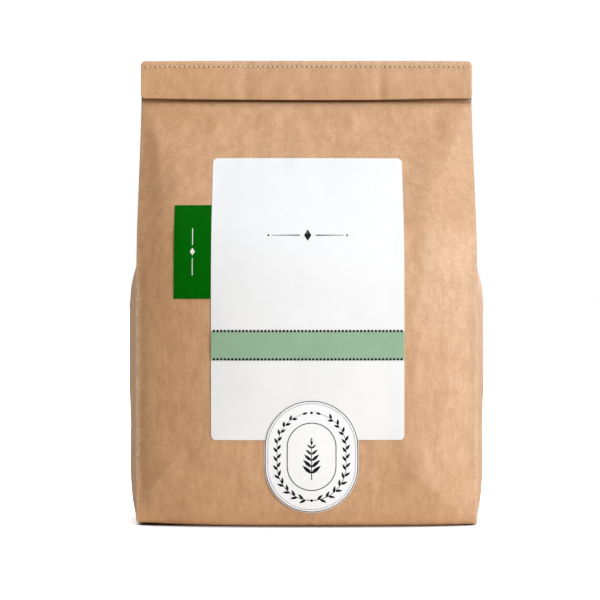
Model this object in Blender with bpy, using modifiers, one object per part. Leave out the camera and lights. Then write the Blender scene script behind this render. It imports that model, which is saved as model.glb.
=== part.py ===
"""Filled kraft paper herb bag: side gussets, block bottom, rolled and stitched top, paper stickers.

Units are metres and +Z is up. The origin is the middle of the flat bottom, and the front faces -Y.
"""

import math
import random

import bmesh
import bpy
from mathutils import Matrix, Vector, noise

# ---------------------------------------------------------------- driving sizes
WIDTH = 0.178  # front panel, crease to crease
DEPTH = 0.100  # bottom, front crease to back crease
HEIGHT = 0.246  # floor to the top of the rolled band
BAND_HEIGHT = 0.0205  # rolled band, top fold to lower fold
WALL = 0.0005  # paper, thickened to a solid wall
BOTTOM = 0.0009  # the block bottom's pasted layers
GAP = 0.0003  # clear space between neighbouring surfaces
NECK_TOP = 0.2245  # from here up the tube is pressed flat
CAVITY_TOP = 0.2160  # where the open inside narrows to the pressed slit
SLIT_HALF_WIDTH = 0.0353  # pressed slit between the gussets' inner creases
PAPER_EDGE = 0.0006  # the crease's own thickness on the gusset side

FRONT_COLUMNS = 14
BACK_COLUMNS = 10
FRONT_SWELL_POWER = 2.1  # how square the front panel's cross-curve is
BACK_SWELL_SHARE = 0.75  # the back panel swells a little less than the front

# station heights with the value at each: crease depth, swell of the panels, and the gusset's middle
CREASE_DEPTH = (
    (0.000, 0.0494), (0.010, 0.0500), (0.040, 0.0505), (0.095, 0.0505), (0.125, 0.0494),
    (0.150, 0.0436), (0.175, 0.0285), (0.200, 0.0124), (0.215, 0.0040), (NECK_TOP, WALL + GAP / 2),
)
PANEL_SWELL = (
    (0.000, 0.0070), (0.010, 0.0098), (0.040, 0.0132), (0.085, 0.0150), (0.130, 0.0158),
    (0.165, 0.0140), (0.195, 0.0088), (0.212, 0.0034), (NECK_TOP, 0.0),
)
GUSSET_OUT = (
    (0.000, -0.0004), (0.006, 0.0022), (0.016, 0.0048), (0.034, 0.0060), (0.095, 0.0060),
    (0.113, 0.0050), (0.125, 0.0016), (0.134, -0.0045), (0.145, -0.0195), (0.158, -0.0330),
    (0.178, -0.0440), (0.200, -0.0498), (NECK_TOP, -0.0512),
)
LEVELS_MM = (
    0, 3, 8, 15, 24, 35, 47, 60, 73, 86, 98, 108, 116, 123, 129, 135, 141, 147,
    153, 160, 168, 176, 184, 192, 200, 207, 213, 218, 222, 224.5,
)
LEVELS = tuple(level / 1000 for level in LEVELS_MM)

# stickers: thickness, and how far each one's underside stands off the paper
STICKER_THICKNESS = 0.0004
LABEL_SIZE = (0.1010, 0.1490)
LABEL_CENTRE = (0.0005, 0.1185)
LABEL_CORNER = 0.0025
TAB_SIZE = (0.0190, 0.0490)
CUT_CORNER = 0.0003  # a straight-cut corner, barely rounded
TAB_CENTRE_Z = 0.1425
BAND_STRIP_HEIGHT = 0.0160
BAND_STRIP_Z = 0.0937
SEAL_SIZE = (0.0490, 0.0590)
SEAL_CENTRE = (0.0028, 0.0351)
LABEL_LIFT = GAP
SECOND_LIFT = 2 * GAP + STICKER_THICKNESS

# sewing thread
STITCH_COUNT = 66
STITCH_DROP = 0.0033  # below the band's top fold
THREAD_RADIUS = 0.0003
THREAD_RISE = 0.00025  # how far each stitch arches off the paper
SEAM_HALF_LENGTH = 0.0868

# contents
FILL_EDGE = 0.124  # height of the heap along the walls
FILL_CROWN = 0.012  # extra height in the middle
FILL_CLEARANCE = 0.0004
FILL_DENT = 0.0016  # how deep the packed side is dented
FROND_COUNT = 12
FROND_SEED = 11
HEAP_REACH = (0.066, 0.015)  # how far from the middle a frond may start, across and front to back
BLADE_FLATNESS = 0.26  # a blade's thickness against its width
STEM_WIDTHS = (0.0085, 0.0078)  # a frond's stem, base and tip
BRANCH_WIDTHS = (0.0074, 0.0066)
LOBE_WIDTHS = (0.0062, 0.0044)
LOBE_LENGTH = 0.0095
BLADDER_RADIUS = 0.0029

KRAFT = (0.610, 0.368, 0.197)
SEAWEED = (0.060, 0.050, 0.022)
LABEL_WHITE = (0.880, 0.880, 0.880)
TAB_GREEN = (0.004, 0.112, 0.005)
BAND_SAGE = (0.337, 0.515, 0.342)
SEAL_WHITE = (0.900, 0.900, 0.890)
THREAD_CREAM = (0.780, 0.650, 0.480)


# ---------------------------------------------------------------- scene helpers
def clear_scene():
    """Remove every object, so that the script can be run again in an open file."""
    for obj in list(bpy.data.objects):
        bpy.data.objects.remove(obj, do_unlink=True)


def new_collection(name):
    collection = bpy.data.collections.new(name)
    bpy.context.scene.collection.children.link(collection)
    return collection


def paper_material(name, colour, roughness):
    material = bpy.data.materials.new(name)
    material.use_nodes = True
    shader = material.node_tree.nodes["Principled BSDF"]
    shader.inputs["Base Color"].default_value = (*colour, 1.0)
    shader.inputs["Roughness"].default_value = roughness
    shader.inputs["Metallic"].default_value = 0.0
    return material


def object_from_bmesh(name, bm, collection, material=None):
    mesh = bpy.data.meshes.new(name)
    bm.to_mesh(mesh)
    bm.free()
    obj = bpy.data.objects.new(name, mesh)
    collection.objects.link(obj)
    if material:
        mesh.materials.append(material)
    return obj


def mark_as_cutter(obj):
    obj.hide_render = True
    obj.display_type = "WIRE"


# ---------------------------------------------------------------- the paper's form
def station_value(stations, height):
    """Monotone cubic through the stations: no overshoot between two of them."""
    if height <= stations[0][0]:
        return stations[0][1]
    if height >= stations[-1][0]:
        return stations[-1][1]
    heights = [s[0] for s in stations]
    values = [s[1] for s in stations]
    slopes = [
        (values[i + 1] - values[i]) / (heights[i + 1] - heights[i]) for i in range(len(stations) - 1)
    ]

    def tangent(i):
        if i in (0, len(stations) - 1):
            return slopes[min(i, len(slopes) - 1)]
        before, after = slopes[i - 1], slopes[i]
        if before * after <= 0:
            return 0.0
        return 2 * before * after / (before + after)

    i = max(k for k in range(len(slopes)) if heights[k] <= height)
    span = heights[i + 1] - heights[i]
    u = (height - heights[i]) / span
    rise = values[i + 1] - values[i]
    start, end = tangent(i) * span, tangent(i + 1) * span
    return values[i] + u * (start + u * (3 * rise - 2 * start - end + u * (start + end - 2 * rise)))


def front_y(x, z):
    """Outer face of the front panel."""
    spread = 1 - min(abs(x) / (WIDTH / 2), 1) ** FRONT_SWELL_POWER
    return -station_value(CREASE_DEPTH, z) - station_value(PANEL_SWELL, z) * spread


def back_y(x, z):
    """Outer face of the back panel."""
    spread = 1 - min(abs(x) / (WIDTH / 2), 1) ** FRONT_SWELL_POWER
    return station_value(CREASE_DEPTH, z) + BACK_SWELL_SHARE * station_value(PANEL_SWELL, z) * spread


def column_positions(count, half_width):
    return [-half_width + 2 * half_width * i / count for i in range(count + 1)]


def gusset_half(z):
    """Right gusset's front half, from beside the front crease to the middle crease."""
    crease = station_value(CREASE_DEPTH, z)
    out = station_value(GUSSET_OUT, z)
    start_y = -crease + min(PAPER_EDGE, crease - GAP / 2)
    points = []
    for step in range(4):
        u = step / 3
        reach = math.sin(u * math.pi / 2) if out > 0 else u
        points.append((WIDTH / 2 + out * reach, start_y * (1 - u) - GAP / 2 * u))
    return points


def outer_section(z):
    """Closed outline of the folded tube at height z, counter-clockwise from the front left crease."""
    half = WIDTH / 2
    front = [(x, front_y(x, z)) for x in column_positions(FRONT_COLUMNS, half)]
    back = [(x, back_y(x, z)) for x in reversed(column_positions(BACK_COLUMNS, half))]
    right_front = gusset_half(z)
    right_back = [(x, -y) for x, y in reversed(right_front)]
    left_back = [(-x, -y) for x, y in right_front]
    left_front = [(-x, y) for x, y in reversed(right_front)]
    return front + right_front + right_back + back + left_back + left_front


def inner_gusset_line(z, inset):
    """The gusset's inner face as a point and a direction, `inset` inside the outer one."""
    line = gusset_half(z)
    start, end = Vector(line[0]), Vector(line[-1])
    direction = (end - start).normalized()
    step = 0.001
    lean = (station_value(GUSSET_OUT, z + step) - station_value(GUSSET_OUT, z - step)) / (2 * step)
    thickness = inset * math.sqrt(1 + lean * lean)
    inward = Vector((-direction.y, direction.x))
    return start + inward * thickness, direction


def inner_section(z, inset):
    """Outline of the space inside the tube, `inset` inside the paper's outer faces."""
    start, direction = inner_gusset_line(z, inset)
    low, high = 0.0, DEPTH / 2
    for _ in range(40):
        middle = (low + high) / 2
        point = start + direction * middle
        if point.y > front_y(point.x, z) + inset:
            high = middle
        else:
            low = middle
    corner = start + direction * high
    if corner.y > -inset:
        raise ValueError(f"no space is left inside the tube at {z}")
    centre_x = start.x - start.y * direction.x / direction.y
    half = corner.x
    swell = max(station_value(GUSSET_OUT, z), 0.0)
    front = [(x, front_y(x, z) + inset) for x in column_positions(FRONT_COLUMNS, half)]
    back = [(x, back_y(x, z) - inset) for x in reversed(column_positions(BACK_COLUMNS, half))]
    right = []
    for step in range(1, 6):
        u = step / 6
        side = 1 - abs(2 * u - 1)
        reach = math.sin(side * math.pi / 2) if swell > 0 else side
        y = corner.y + (back_y(half, z) - inset - corner.y) * u
        right.append((half + (centre_x - half) * reach, y))
    left = [(-x, y) for x, y in reversed(right)]
    return front + right + back + left


def loft(bm, loops):
    """Skin a list of closed loops of equal length and close both ends."""
    rings = [[bm.verts.new(point) for point in loop] for loop in loops]
    count = len(rings[0])
    for lower, upper in zip(rings, rings[1:]):
        for i in range(count):
            j = (i + 1) % count
            bm.faces.new((lower[i], lower[j], upper[j], upper[i]))
    bm.faces.new(list(reversed(rings[0])))
    bm.faces.new(rings[-1])
    bmesh.ops.recalc_face_normals(bm, faces=bm.faces[:])


# ---------------------------------------------------------------- rolled top
NECK_THICKNESS = 2 * WALL + GAP
LAYER_PITCH = NECK_THICKNESS + GAP
TOP_FOLD_Z = HEIGHT - LAYER_PITCH - NECK_THICKNESS / 2
LOWER_FOLD_Z = HEIGHT - BAND_HEIGHT + LAYER_PITCH / 2 + NECK_THICKNESS / 2
BEND_STEPS = 6


def fold(centre_y, centre_z, radius, start_angle):
    """Half a turn of the roll, as (y, z, outward y, outward z) at each step."""
    stops = []
    for step in range(BEND_STEPS + 1):
        angle = start_angle + math.pi * step / BEND_STEPS
        outward = (math.cos(angle), math.sin(angle))
        stops.append((centre_y + radius * outward[0], centre_z + radius * outward[1], *outward))
    return stops


def roll_path(overrun=0.0):
    """Middle line of the pressed tube: up the neck, over the top fold, down, and up inside the band."""
    middle_z = (TOP_FOLD_Z + LOWER_FOLD_Z) / 2
    raw_edge_z = TOP_FOLD_Z - GAP + overrun
    path = [(0.0, middle_z, 1.0, 0.0)]
    path += fold(-LAYER_PITCH, TOP_FOLD_Z, LAYER_PITCH, 0.0)
    path.append((-2 * LAYER_PITCH, middle_z, -1.0, 0.0))
    path += fold(-1.5 * LAYER_PITCH, LOWER_FOLD_Z, LAYER_PITCH / 2, math.pi)
    path.append((-LAYER_PITCH, middle_z, 1.0, 0.0))
    path.append((-LAYER_PITCH, raw_edge_z, 1.0, 0.0))
    return path


def along_roll(section, overrun=0.0):
    """The flat section (x, depth), carried along the roll."""
    loops = []
    for y, z, outward_y, outward_z in roll_path(overrun):
        loops.append([(x, y + depth * outward_y, z + depth * outward_z) for x, depth in section])
    return loops


# ---------------------------------------------------------------- the bag
def make_bag(collection, cutters):
    loops = [[(x, y, z) for x, y in outer_section(z)] for z in LEVELS]
    loops += along_roll(outer_section(NECK_TOP))
    bm = bmesh.new()
    loft(bm, loops)
    bag = object_from_bmesh("paper_bag", bm, collection, paper_material("kraft_paper", KRAFT, 0.85))
    for cutter in (make_cavity(cutters), make_slit(cutters)):
        cut = bag.modifiers.new(f"hollow {cutter.name}", "BOOLEAN")
        cut.operation = "DIFFERENCE"
        cut.solver = "EXACT"
        cut.object = cutter
    return bag


def make_cavity(cutters):
    """The space that holds the contents."""
    heights = [BOTTOM] + [z for z in LEVELS if BOTTOM < z < CAVITY_TOP] + [CAVITY_TOP]
    bm = bmesh.new()
    loft(bm, [[(x, y, z) for x, y in inner_section(z, WALL)] for z in heights])
    cavity = object_from_bmesh("cavity_cutter", bm, cutters)
    mark_as_cutter(cavity)
    return cavity


def make_slit(cutters):
    """The pressed mouth, which runs from the cavity through the roll to the paper's raw edge."""
    half = GAP / 2
    wide = SLIT_HALF_WIDTH
    section = [(-wide, -half), (wide, -half), (wide, half), (-wide, half)]
    start_z = CAVITY_TOP - 0.002
    bm = bmesh.new()
    loft(bm, [[(x, y, start_z) for x, y in section]] + along_roll(section, overrun=0.0005))
    slit = object_from_bmesh("slit_cutter", bm, cutters)
    mark_as_cutter(slit)
    return slit


# ---------------------------------------------------------------- contents
def packed_loop(z, share=1.0):
    """Outline of the packed heap at height z, dented where pieces lie against the paper."""
    loop = []
    for x, y in inner_section(z, WALL + FILL_CLEARANCE):
        dent = FILL_DENT * (0.5 + 0.5 * noise.noise(Vector((x, y, z)) * 70))
        pull = 1 - dent / math.hypot(x, y)
        loop.append((x * pull * share, y * pull * share))
    return loop


def heap_height(x, y):
    """Top of the heap: a low mound, higher in the middle."""
    reach = min(math.hypot(x / (WIDTH / 2), y / (DEPTH / 2)), 1.0)
    return FILL_EDGE + FILL_CROWN * (1 - reach * reach)


def make_core(collection):
    heights = [BOTTOM + GAP] + [z for z in LEVELS if 0.006 < z < FILL_EDGE - 0.002] + [FILL_EDGE]
    loops = [[(x, y, z) for x, y in packed_loop(z)] for z in heights]
    for share in (0.8, 0.5, 0.2):
        loops.append([(x, y, heap_height(x, y)) for x, y in packed_loop(FILL_EDGE, share)])
    bm = bmesh.new()
    loft(bm, loops)
    return object_from_bmesh("dried_bladderwrack", bm, collection)


def frond_blade(fronds, start, heading, climb, length, base_width, tip_width):
    """A flat tapering length of frond, thicker along its middle; returns where the next one starts."""
    bm = bmesh.new()
    bmesh.ops.create_cone(
        bm, cap_ends=True, segments=4, radius1=base_width / 2, radius2=tip_width / 2, depth=length
    )
    direction = Vector((math.cos(heading), math.sin(heading), climb)).normalized()
    flatten = Matrix.Diagonal((1.0, BLADE_FLATNESS, 1.0, 1.0))
    lay = direction.to_track_quat("Z", "Y").to_matrix().to_4x4()
    middle = Matrix.Translation(start + direction * length / 2)
    bmesh.ops.transform(bm, matrix=middle @ lay @ flatten, verts=bm.verts[:])
    object_from_bmesh("frond_blade", bm, fronds)
    return start + direction * (length - base_width * 0.3)


def air_bladder(fronds, centre, radius):
    bm = bmesh.new()
    bmesh.ops.create_uvsphere(bm, u_segments=6, v_segments=4, radius=radius)
    bmesh.ops.transform(bm, matrix=Matrix.Translation(centre), verts=bm.verts[:])
    object_from_bmesh("air_bladder", bm, fronds)


def lay_frond(fronds, rng, x, y):
    """One cut frond on the heap: a stem with a pair of bladders, a fork, and a second fork."""
    inwards = math.pi if x > 0 else 0.0
    heading = inwards + rng.uniform(-0.4, 0.4)
    climb = rng.uniform(0.0, 0.16)
    side = Vector((-math.sin(heading), math.cos(heading), 0.0))
    start = Vector((x, y, heap_height(x, y) - 0.0004))
    fork = frond_blade(fronds, start, heading, climb, rng.uniform(0.016, 0.020), *STEM_WIDTHS)
    for sign in (-1, 1):
        air_bladder(fronds, start.lerp(fork, 0.55) + side * sign * STEM_WIDTHS[1] * 0.42, BLADDER_RADIUS)
        branch = heading + sign * rng.uniform(0.38, 0.55)
        tip = frond_blade(fronds, fork, branch, climb, rng.uniform(0.013, 0.017), *BRANCH_WIDTHS)
        for second_sign in (-1, 1):
            lobe = branch + second_sign * rng.uniform(0.3, 0.5)
            frond_blade(fronds, tip, lobe, climb, LOBE_LENGTH, *LOBE_WIDTHS)


def keep_outer_skin(mesh):
    """Drop the closed pockets and loose scraps that fusing leaves, so that one skin stays."""
    bm = bmesh.new()
    bm.from_mesh(mesh)
    unseen = set(bm.verts)
    islands = []
    while unseen:
        edge_of_search = [unseen.pop()]
        island = set(edge_of_search)
        while edge_of_search:
            for edge in edge_of_search.pop().link_edges:
                for v in edge.verts:
                    if v in unseen:
                        unseen.remove(v)
                        island.add(v)
                        edge_of_search.append(v)
        islands.append(island)
    islands.sort(key=len)
    for island in islands[:-1]:
        bmesh.ops.delete(bm, geom=sorted(island, key=lambda v: v.index), context="VERTS")
    bm.to_mesh(mesh)
    bm.free()


def make_contents(collection):
    core = make_core(collection)
    fronds = new_collection("loose fronds")
    rng = random.Random(FROND_SEED)
    for i in range(FROND_COUNT):
        across = -1 + 2 * (i + 0.5) / FROND_COUNT
        x = HEAP_REACH[0] * across + rng.uniform(-0.003, 0.003)
        y = HEAP_REACH[1] * math.sin(i * 2.4) + rng.uniform(-0.003, 0.003)
        lay_frond(fronds, rng, x, y)
    union = core.modifiers.new("fronds", "BOOLEAN")
    union.operation = "UNION"
    union.solver = "EXACT"
    union.operand_type = "COLLECTION"
    union.collection = fronds
    evaluated = core.evaluated_get(bpy.context.evaluated_depsgraph_get())
    fused = bpy.data.meshes.new_from_object(evaluated)
    core.modifiers.clear()
    core.data = fused
    keep_outer_skin(fused)
    fused.name = core.name
    fused.materials.clear()
    fused.materials.append(paper_material("dried_seaweed", SEAWEED, 0.7))
    for piece in list(fronds.objects):
        bpy.data.objects.remove(piece, do_unlink=True)
    bpy.data.collections.remove(fronds)
    return core


# ---------------------------------------------------------------- stickers
def outline(width, height, corner, steps):
    """Rectangle with rounded corners, as (x, z) about its own centre."""
    points = []
    for quarter, (sign_x, sign_z) in enumerate(((1, 1), (-1, 1), (-1, -1), (1, -1))):
        centre = (sign_x * (width / 2 - corner), sign_z * (height / 2 - corner))
        for step in range(steps + 1):
            angle = (quarter + step / steps) * math.pi / 2
            points.append((centre[0] + corner * math.cos(angle), centre[1] + corner * math.sin(angle)))
    return points


def seal_lift(z):
    """The seal lies over the label's lower edge and steps down onto the paper below it."""
    label_edge = LABEL_CENTRE[1] - LABEL_SIZE[1] / 2
    share = min(max((z - label_edge + 0.006) / 0.0045, 0.0), 1.0)
    return LABEL_LIFT + (SECOND_LIFT - LABEL_LIFT) * share


def make_sticker(collection, name, size, centre, corner, steps, lift, material):
    """A sheet that follows the front panel at `lift` metres off it."""
    bm = bmesh.new()
    ring = [
        bm.verts.new((centre[0] + x, 0.0, centre[1] + z)) for x, z in outline(*size, corner, steps)
    ]
    bmesh.ops.remove_doubles(bm, verts=bm.verts[:], dist=1e-6)
    bm.faces.new([v for v in ring if v.is_valid])
    for x in column_positions(FRONT_COLUMNS, WIDTH / 2):
        everything = bm.verts[:] + bm.edges[:] + bm.faces[:]
        bmesh.ops.bisect_plane(bm, geom=everything, plane_co=(x, 0, 0), plane_no=(1, 0, 0), dist=1e-5)
    for z in LEVELS:
        everything = bm.verts[:] + bm.edges[:] + bm.faces[:]
        bmesh.ops.bisect_plane(bm, geom=everything, plane_co=(0, 0, z), plane_no=(0, 0, 1), dist=1e-5)
    for v in bm.verts:
        v.co.y = front_y(v.co.x, v.co.z) - lift(v.co.z)
    bm.normal_update()
    if sum(face.normal.y for face in bm.faces) > 0:
        bmesh.ops.reverse_faces(bm, faces=bm.faces[:])
    sheet = object_from_bmesh(name, bm, collection, material)
    solid = sheet.modifiers.new("paper thickness", "SOLIDIFY")
    solid.thickness = STICKER_THICKNESS
    solid.offset = 1.0
    solid.use_even_offset = True
    return sheet


def make_stickers(collection):
    label_left = LABEL_CENTRE[0] - LABEL_SIZE[0] / 2
    tab_x = label_left - GAP - TAB_SIZE[0] / 2
    make_sticker(
        collection, "front_label", LABEL_SIZE, LABEL_CENTRE, LABEL_CORNER, 4,
        lambda z: LABEL_LIFT, paper_material("white_label", LABEL_WHITE, 0.6),
    )
    make_sticker(
        collection, "green_tab", TAB_SIZE, (tab_x, TAB_CENTRE_Z), CUT_CORNER, 1,
        lambda z: LABEL_LIFT, paper_material("green_paper", TAB_GREEN, 0.6),
    )
    make_sticker(
        collection, "sage_band", (LABEL_SIZE[0], BAND_STRIP_HEIGHT), (LABEL_CENTRE[0], BAND_STRIP_Z),
        CUT_CORNER, 1, lambda z: SECOND_LIFT, paper_material("sage_paper", BAND_SAGE, 0.6),
    )
    make_sticker(
        collection, "seal_sticker", SEAL_SIZE, SEAL_CENTRE, SEAL_SIZE[0] / 2, 9,
        seal_lift, paper_material("white_seal", SEAL_WHITE, 0.6),
    )


# ---------------------------------------------------------------- sewing thread
def make_thread(collection, name, paper_y, outward, material):
    """A run of lockstitches on one side of the band, one arch for each stitch."""
    data = bpy.data.curves.new(name, "CURVE")
    data.dimensions = "3D"
    data.bevel_depth = THREAD_RADIUS
    data.bevel_resolution = 0
    data.use_fill_caps = True
    spline = data.splines.new("POLY")
    spline.points.add(2 * STITCH_COUNT)
    for i, point in enumerate(spline.points):
        x = -SEAM_HALF_LENGTH + 2 * SEAM_HALF_LENGTH * i / (2 * STITCH_COUNT)
        rise = THREAD_RISE * (i % 2)
        y = paper_y + outward * (GAP + THREAD_RADIUS + rise)
        point.co = (x, y, HEIGHT - STITCH_DROP, 1.0)
    thread = bpy.data.objects.new(name, data)
    collection.objects.link(thread)
    data.materials.append(material)
    return thread


def make_seam(collection):
    cream = paper_material("cream_thread", THREAD_CREAM, 0.8)
    front_face = -2 * LAYER_PITCH - NECK_THICKNESS / 2
    make_thread(collection, "stitch_thread_front", front_face, -1, cream)
    make_thread(collection, "stitch_thread_back", NECK_THICKNESS / 2, 1, cream.copy())


def main():
    clear_scene()
    bag_collection = new_collection("kraft herb bag")
    cutters = new_collection("cutters")
    make_bag(bag_collection, cutters)
    make_contents(bag_collection)
    make_stickers(bag_collection)
    make_seam(bag_collection)


main()
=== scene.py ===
# %% [markdown]
# # A kraft bag of dried seaweed, filled, rolled shut and stitched
# The real thing is one sheet of brown paper, made into a flat tube with two folded sides, pasted flat at the
# bottom, filled to a little over half, rolled forward twice at the mouth and sewn through the roll.
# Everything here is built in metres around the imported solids, so that nothing has to be fitted afterwards.

# %% Load the solids and keep their box
import math
import random

import bpy
import numpy as np
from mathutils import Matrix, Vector, noise


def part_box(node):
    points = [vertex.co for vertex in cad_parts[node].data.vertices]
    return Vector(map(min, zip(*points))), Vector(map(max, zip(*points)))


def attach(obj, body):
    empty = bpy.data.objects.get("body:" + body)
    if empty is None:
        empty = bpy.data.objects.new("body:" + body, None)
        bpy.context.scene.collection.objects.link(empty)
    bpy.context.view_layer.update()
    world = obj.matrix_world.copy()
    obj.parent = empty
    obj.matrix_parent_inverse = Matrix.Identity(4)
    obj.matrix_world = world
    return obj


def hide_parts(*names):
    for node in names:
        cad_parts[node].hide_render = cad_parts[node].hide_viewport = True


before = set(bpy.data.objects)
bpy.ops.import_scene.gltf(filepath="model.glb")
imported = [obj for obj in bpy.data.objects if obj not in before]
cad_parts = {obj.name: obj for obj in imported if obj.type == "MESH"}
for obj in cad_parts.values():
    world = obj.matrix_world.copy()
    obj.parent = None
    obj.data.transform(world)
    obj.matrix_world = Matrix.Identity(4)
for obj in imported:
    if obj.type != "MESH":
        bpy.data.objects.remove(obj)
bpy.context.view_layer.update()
_, BAG_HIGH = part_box("paper_bag")

# %% [markdown]
# ## The few sizes that drive the bag
# A bag maker quotes three sizes: width, depth and the height it stands at. The front corners of the bag run
# up two creases, and their depth at each height gives the whole side view. Those creases, the swell of the
# panels between them and the middle of each side fold are written as a few stations. A smooth curve that
# never overshoots joins them, because paper doesn't ripple between two points that hold it.

# %% Driving sizes and the smooth curves through them
WIDTH = 0.178
HEIGHT = BAG_HIGH.z
BAND_HEIGHT = 0.0205
NECK_TOP = 0.2245
PLY = 0.0005
SLIT = 0.0003
PAPER_EDGE = 0.0006
HALF = WIDTH / 2
SWELL_POWER = 2.1
BACK_SWELL = 0.75
NECK_HALF = PLY + SLIT / 2
LABEL_SIZE = (0.1000, 0.1475)
LABEL_CENTRE = (0.0005, 0.1188)

CREASE_DEPTH = (
    (0.000, 0.0494), (0.010, 0.0500), (0.040, 0.0505), (0.095, 0.0505), (0.125, 0.0494),
    (0.150, 0.0436), (0.175, 0.0285), (0.200, 0.0124), (0.215, 0.0040), (NECK_TOP, NECK_HALF),
)
PANEL_SWELL = (
    (0.000, 0.0070), (0.010, 0.0098), (0.040, 0.0132), (0.085, 0.0150), (0.130, 0.0158),
    (0.165, 0.0140), (0.195, 0.0088), (0.212, 0.0034), (NECK_TOP, 0.0),
)
GUSSET_OUT = (
    (0.000, -0.0004), (0.005, 0.0027), (0.0096, 0.0042), (0.016, 0.0049), (0.034, 0.0053), (0.095, 0.0060),
    (0.113, 0.0057), (0.122, 0.0051), (0.129, 0.0040), (0.1345, 0.0022), (0.140, -0.0030), (0.147, -0.0170),
    (0.158, -0.0325), (0.178, -0.0440), (0.200, -0.0498), (NECK_TOP, -0.0512),
)


def smooth_curve(stations):
    """A function of height: monotone cubic through the stations, looked up in a fine table."""
    at, value = (np.array(column) for column in zip(*stations))
    slope = np.diff(value) / np.diff(at)
    tangent = np.concatenate(([slope[0]], np.zeros(len(slope) - 1), [slope[-1]]))
    for i in range(1, len(slope)):
        if slope[i - 1] * slope[i] > 0:
            tangent[i] = 2 * slope[i - 1] * slope[i] / (slope[i - 1] + slope[i])
    fine = np.linspace(at[0], at[-1], 1200)
    i = np.clip(np.searchsorted(at, fine, side="right") - 1, 0, len(slope) - 1)
    span = at[i + 1] - at[i]
    u = (fine - at[i]) / span
    table = (
        value[i] * (1 + 2 * u) * (1 - u) ** 2 + value[i + 1] * u * u * (3 - 2 * u)
        + span * (tangent[i] * u * (1 - u) ** 2 - tangent[i + 1] * u * u * (1 - u))
    )
    return lambda height: np.interp(height, fine, table)


crease_depth, panel_swell, gusset_out = (smooth_curve(s) for s in (CREASE_DEPTH, PANEL_SWELL, GUSSET_OUT))
print("front crease at 150 mm up stands", round(float(crease_depth(0.150)) * 1000, 1), "mm forward")

# %% [markdown]
# ## Folds and dents in the panels
# A filled bag is never a clean loft. The corners at the bottom are pinched into a short diagonal, the
# shoulders have a soft fold running down from the neck, and the panel is lumpy where the contents press on
# it. Each fold is a line with a height and two widths: the ridge is sharp on the line and dies away on each
# side. They could be sculpted, but a formula keeps the label, which lies on the same panel, in step with it.

# %% Where the folds lie
FRONT_FOLDS = (  # start x, z; end x, z; height; reach on the left and on the right of the line
    (0.0430, 0.0400, 0.0860, 0.0005, 0.0029, 0.020, 0.013),
    (-0.0640, 0.0400, -0.0885, 0.0080, 0.0024, 0.014, 0.010),
    (-0.0885, 0.2200, -0.0700, 0.1860, 0.0012, 0.008, 0.012),
    (0.0885, 0.2190, 0.0700, 0.1800, 0.0010, 0.012, 0.010),
    (-0.0790, 0.1350, -0.0600, 0.1050, 0.0005, 0.010, 0.014),
)
BACK_FOLDS = (
    (0.0620, 0.0280, 0.0885, 0.0030, 0.0026, 0.014, 0.012),
    (-0.0600, 0.0250, -0.0885, 0.0030, 0.0028, 0.012, 0.012),
    (-0.0560, 0.2100, -0.0330, 0.1300, 0.0030, 0.012, 0.018),
    (0.0420, 0.2120, 0.0680, 0.1400, 0.0030, 0.016, 0.012),
    (0.0100, 0.1150, 0.0660, 0.1400, 0.0014, 0.008, 0.014),
    (-0.0870, 0.1300, -0.0380, 0.1120, 0.0014, 0.012, 0.008),
)
UPRIGHT_FOLDS = (  # stations of (z, x, height) from the foot up; reach to the left and to the right
    (((0.115, -0.0725, 0.0), (0.150, -0.0742, 0.0020), (0.1785, -0.0765, 0.0046), (0.2043, -0.0800, 0.0042),
      (0.2113, -0.0818, 0.0024), (0.2200, -0.0860, 0.0)), 0.0125, 0.0175),
    (((0.016, 0.0560, 0.0), (0.036, 0.0575, 0.0013), (0.090, 0.0580, 0.0005), (0.125, 0.0590, 0.0005),
      (0.1665, 0.0624, 0.0018), (0.190, 0.0710, 0.0022),
      (0.207, 0.0800, 0.0014), (0.219, 0.0860, 0.0)), 0.0150, 0.024),
    (((0.176, -0.0500, 0.0), (0.194, -0.0497, 0.0006), (0.208, -0.0492, 0.0005), (0.2225, -0.0488, 0.0002)),
     0.0034, 0.014),
    (((0.196, 0.0100, 0.0), (0.206, 0.0090, 0.0006), (0.2225, 0.0080, 0.0003)), 0.0050, 0.010),
)
print("folds: front", len(FRONT_FOLDS) + len(UPRIGHT_FOLDS), "back", len(BACK_FOLDS))

# %% Steps, lines and noise that shape the relief
def smooth_step(value, low, high):
    u = np.clip((value - low) / (high - low), 0.0, 1.0)
    return u * u * (3 - 2 * u)


def fading(distance, reach):
    """1 on a line, dying away sharply on both sides of it."""
    return np.exp(-np.abs(distance) / reach)


def bell(distance, width):
    """1 on a line, dying away softly on both sides of it."""
    return np.exp(-(distance / width) ** 2)


def noise_field(x, z, pitch, seed, tall=1.0):
    """Smooth noise from -1 to 1 on the points x, z; tall draws it out upwards."""
    x, z = np.broadcast_arrays(x, z)
    points = np.stack([x / pitch, z / (pitch * tall)], axis=-1).reshape(-1, 2)
    values = [noise.noise(Vector((u, v, seed))) for u, v in points]
    return np.array(values).reshape(x.shape)


print("a soft line of 1 mm is still", round(float(bell(0.001, 0.001)), 2), "high at 1 mm from its middle")

# %% Folds and the lumps of the fill
FOLD_RADIUS = 0.0016
CONTENT_LUMP = 0.0008
UPRIGHT_WAVE = 0.00095
GATHER = 0.00090
FRONT_SEED, BACK_SEED = 3.0, 57.0


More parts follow.
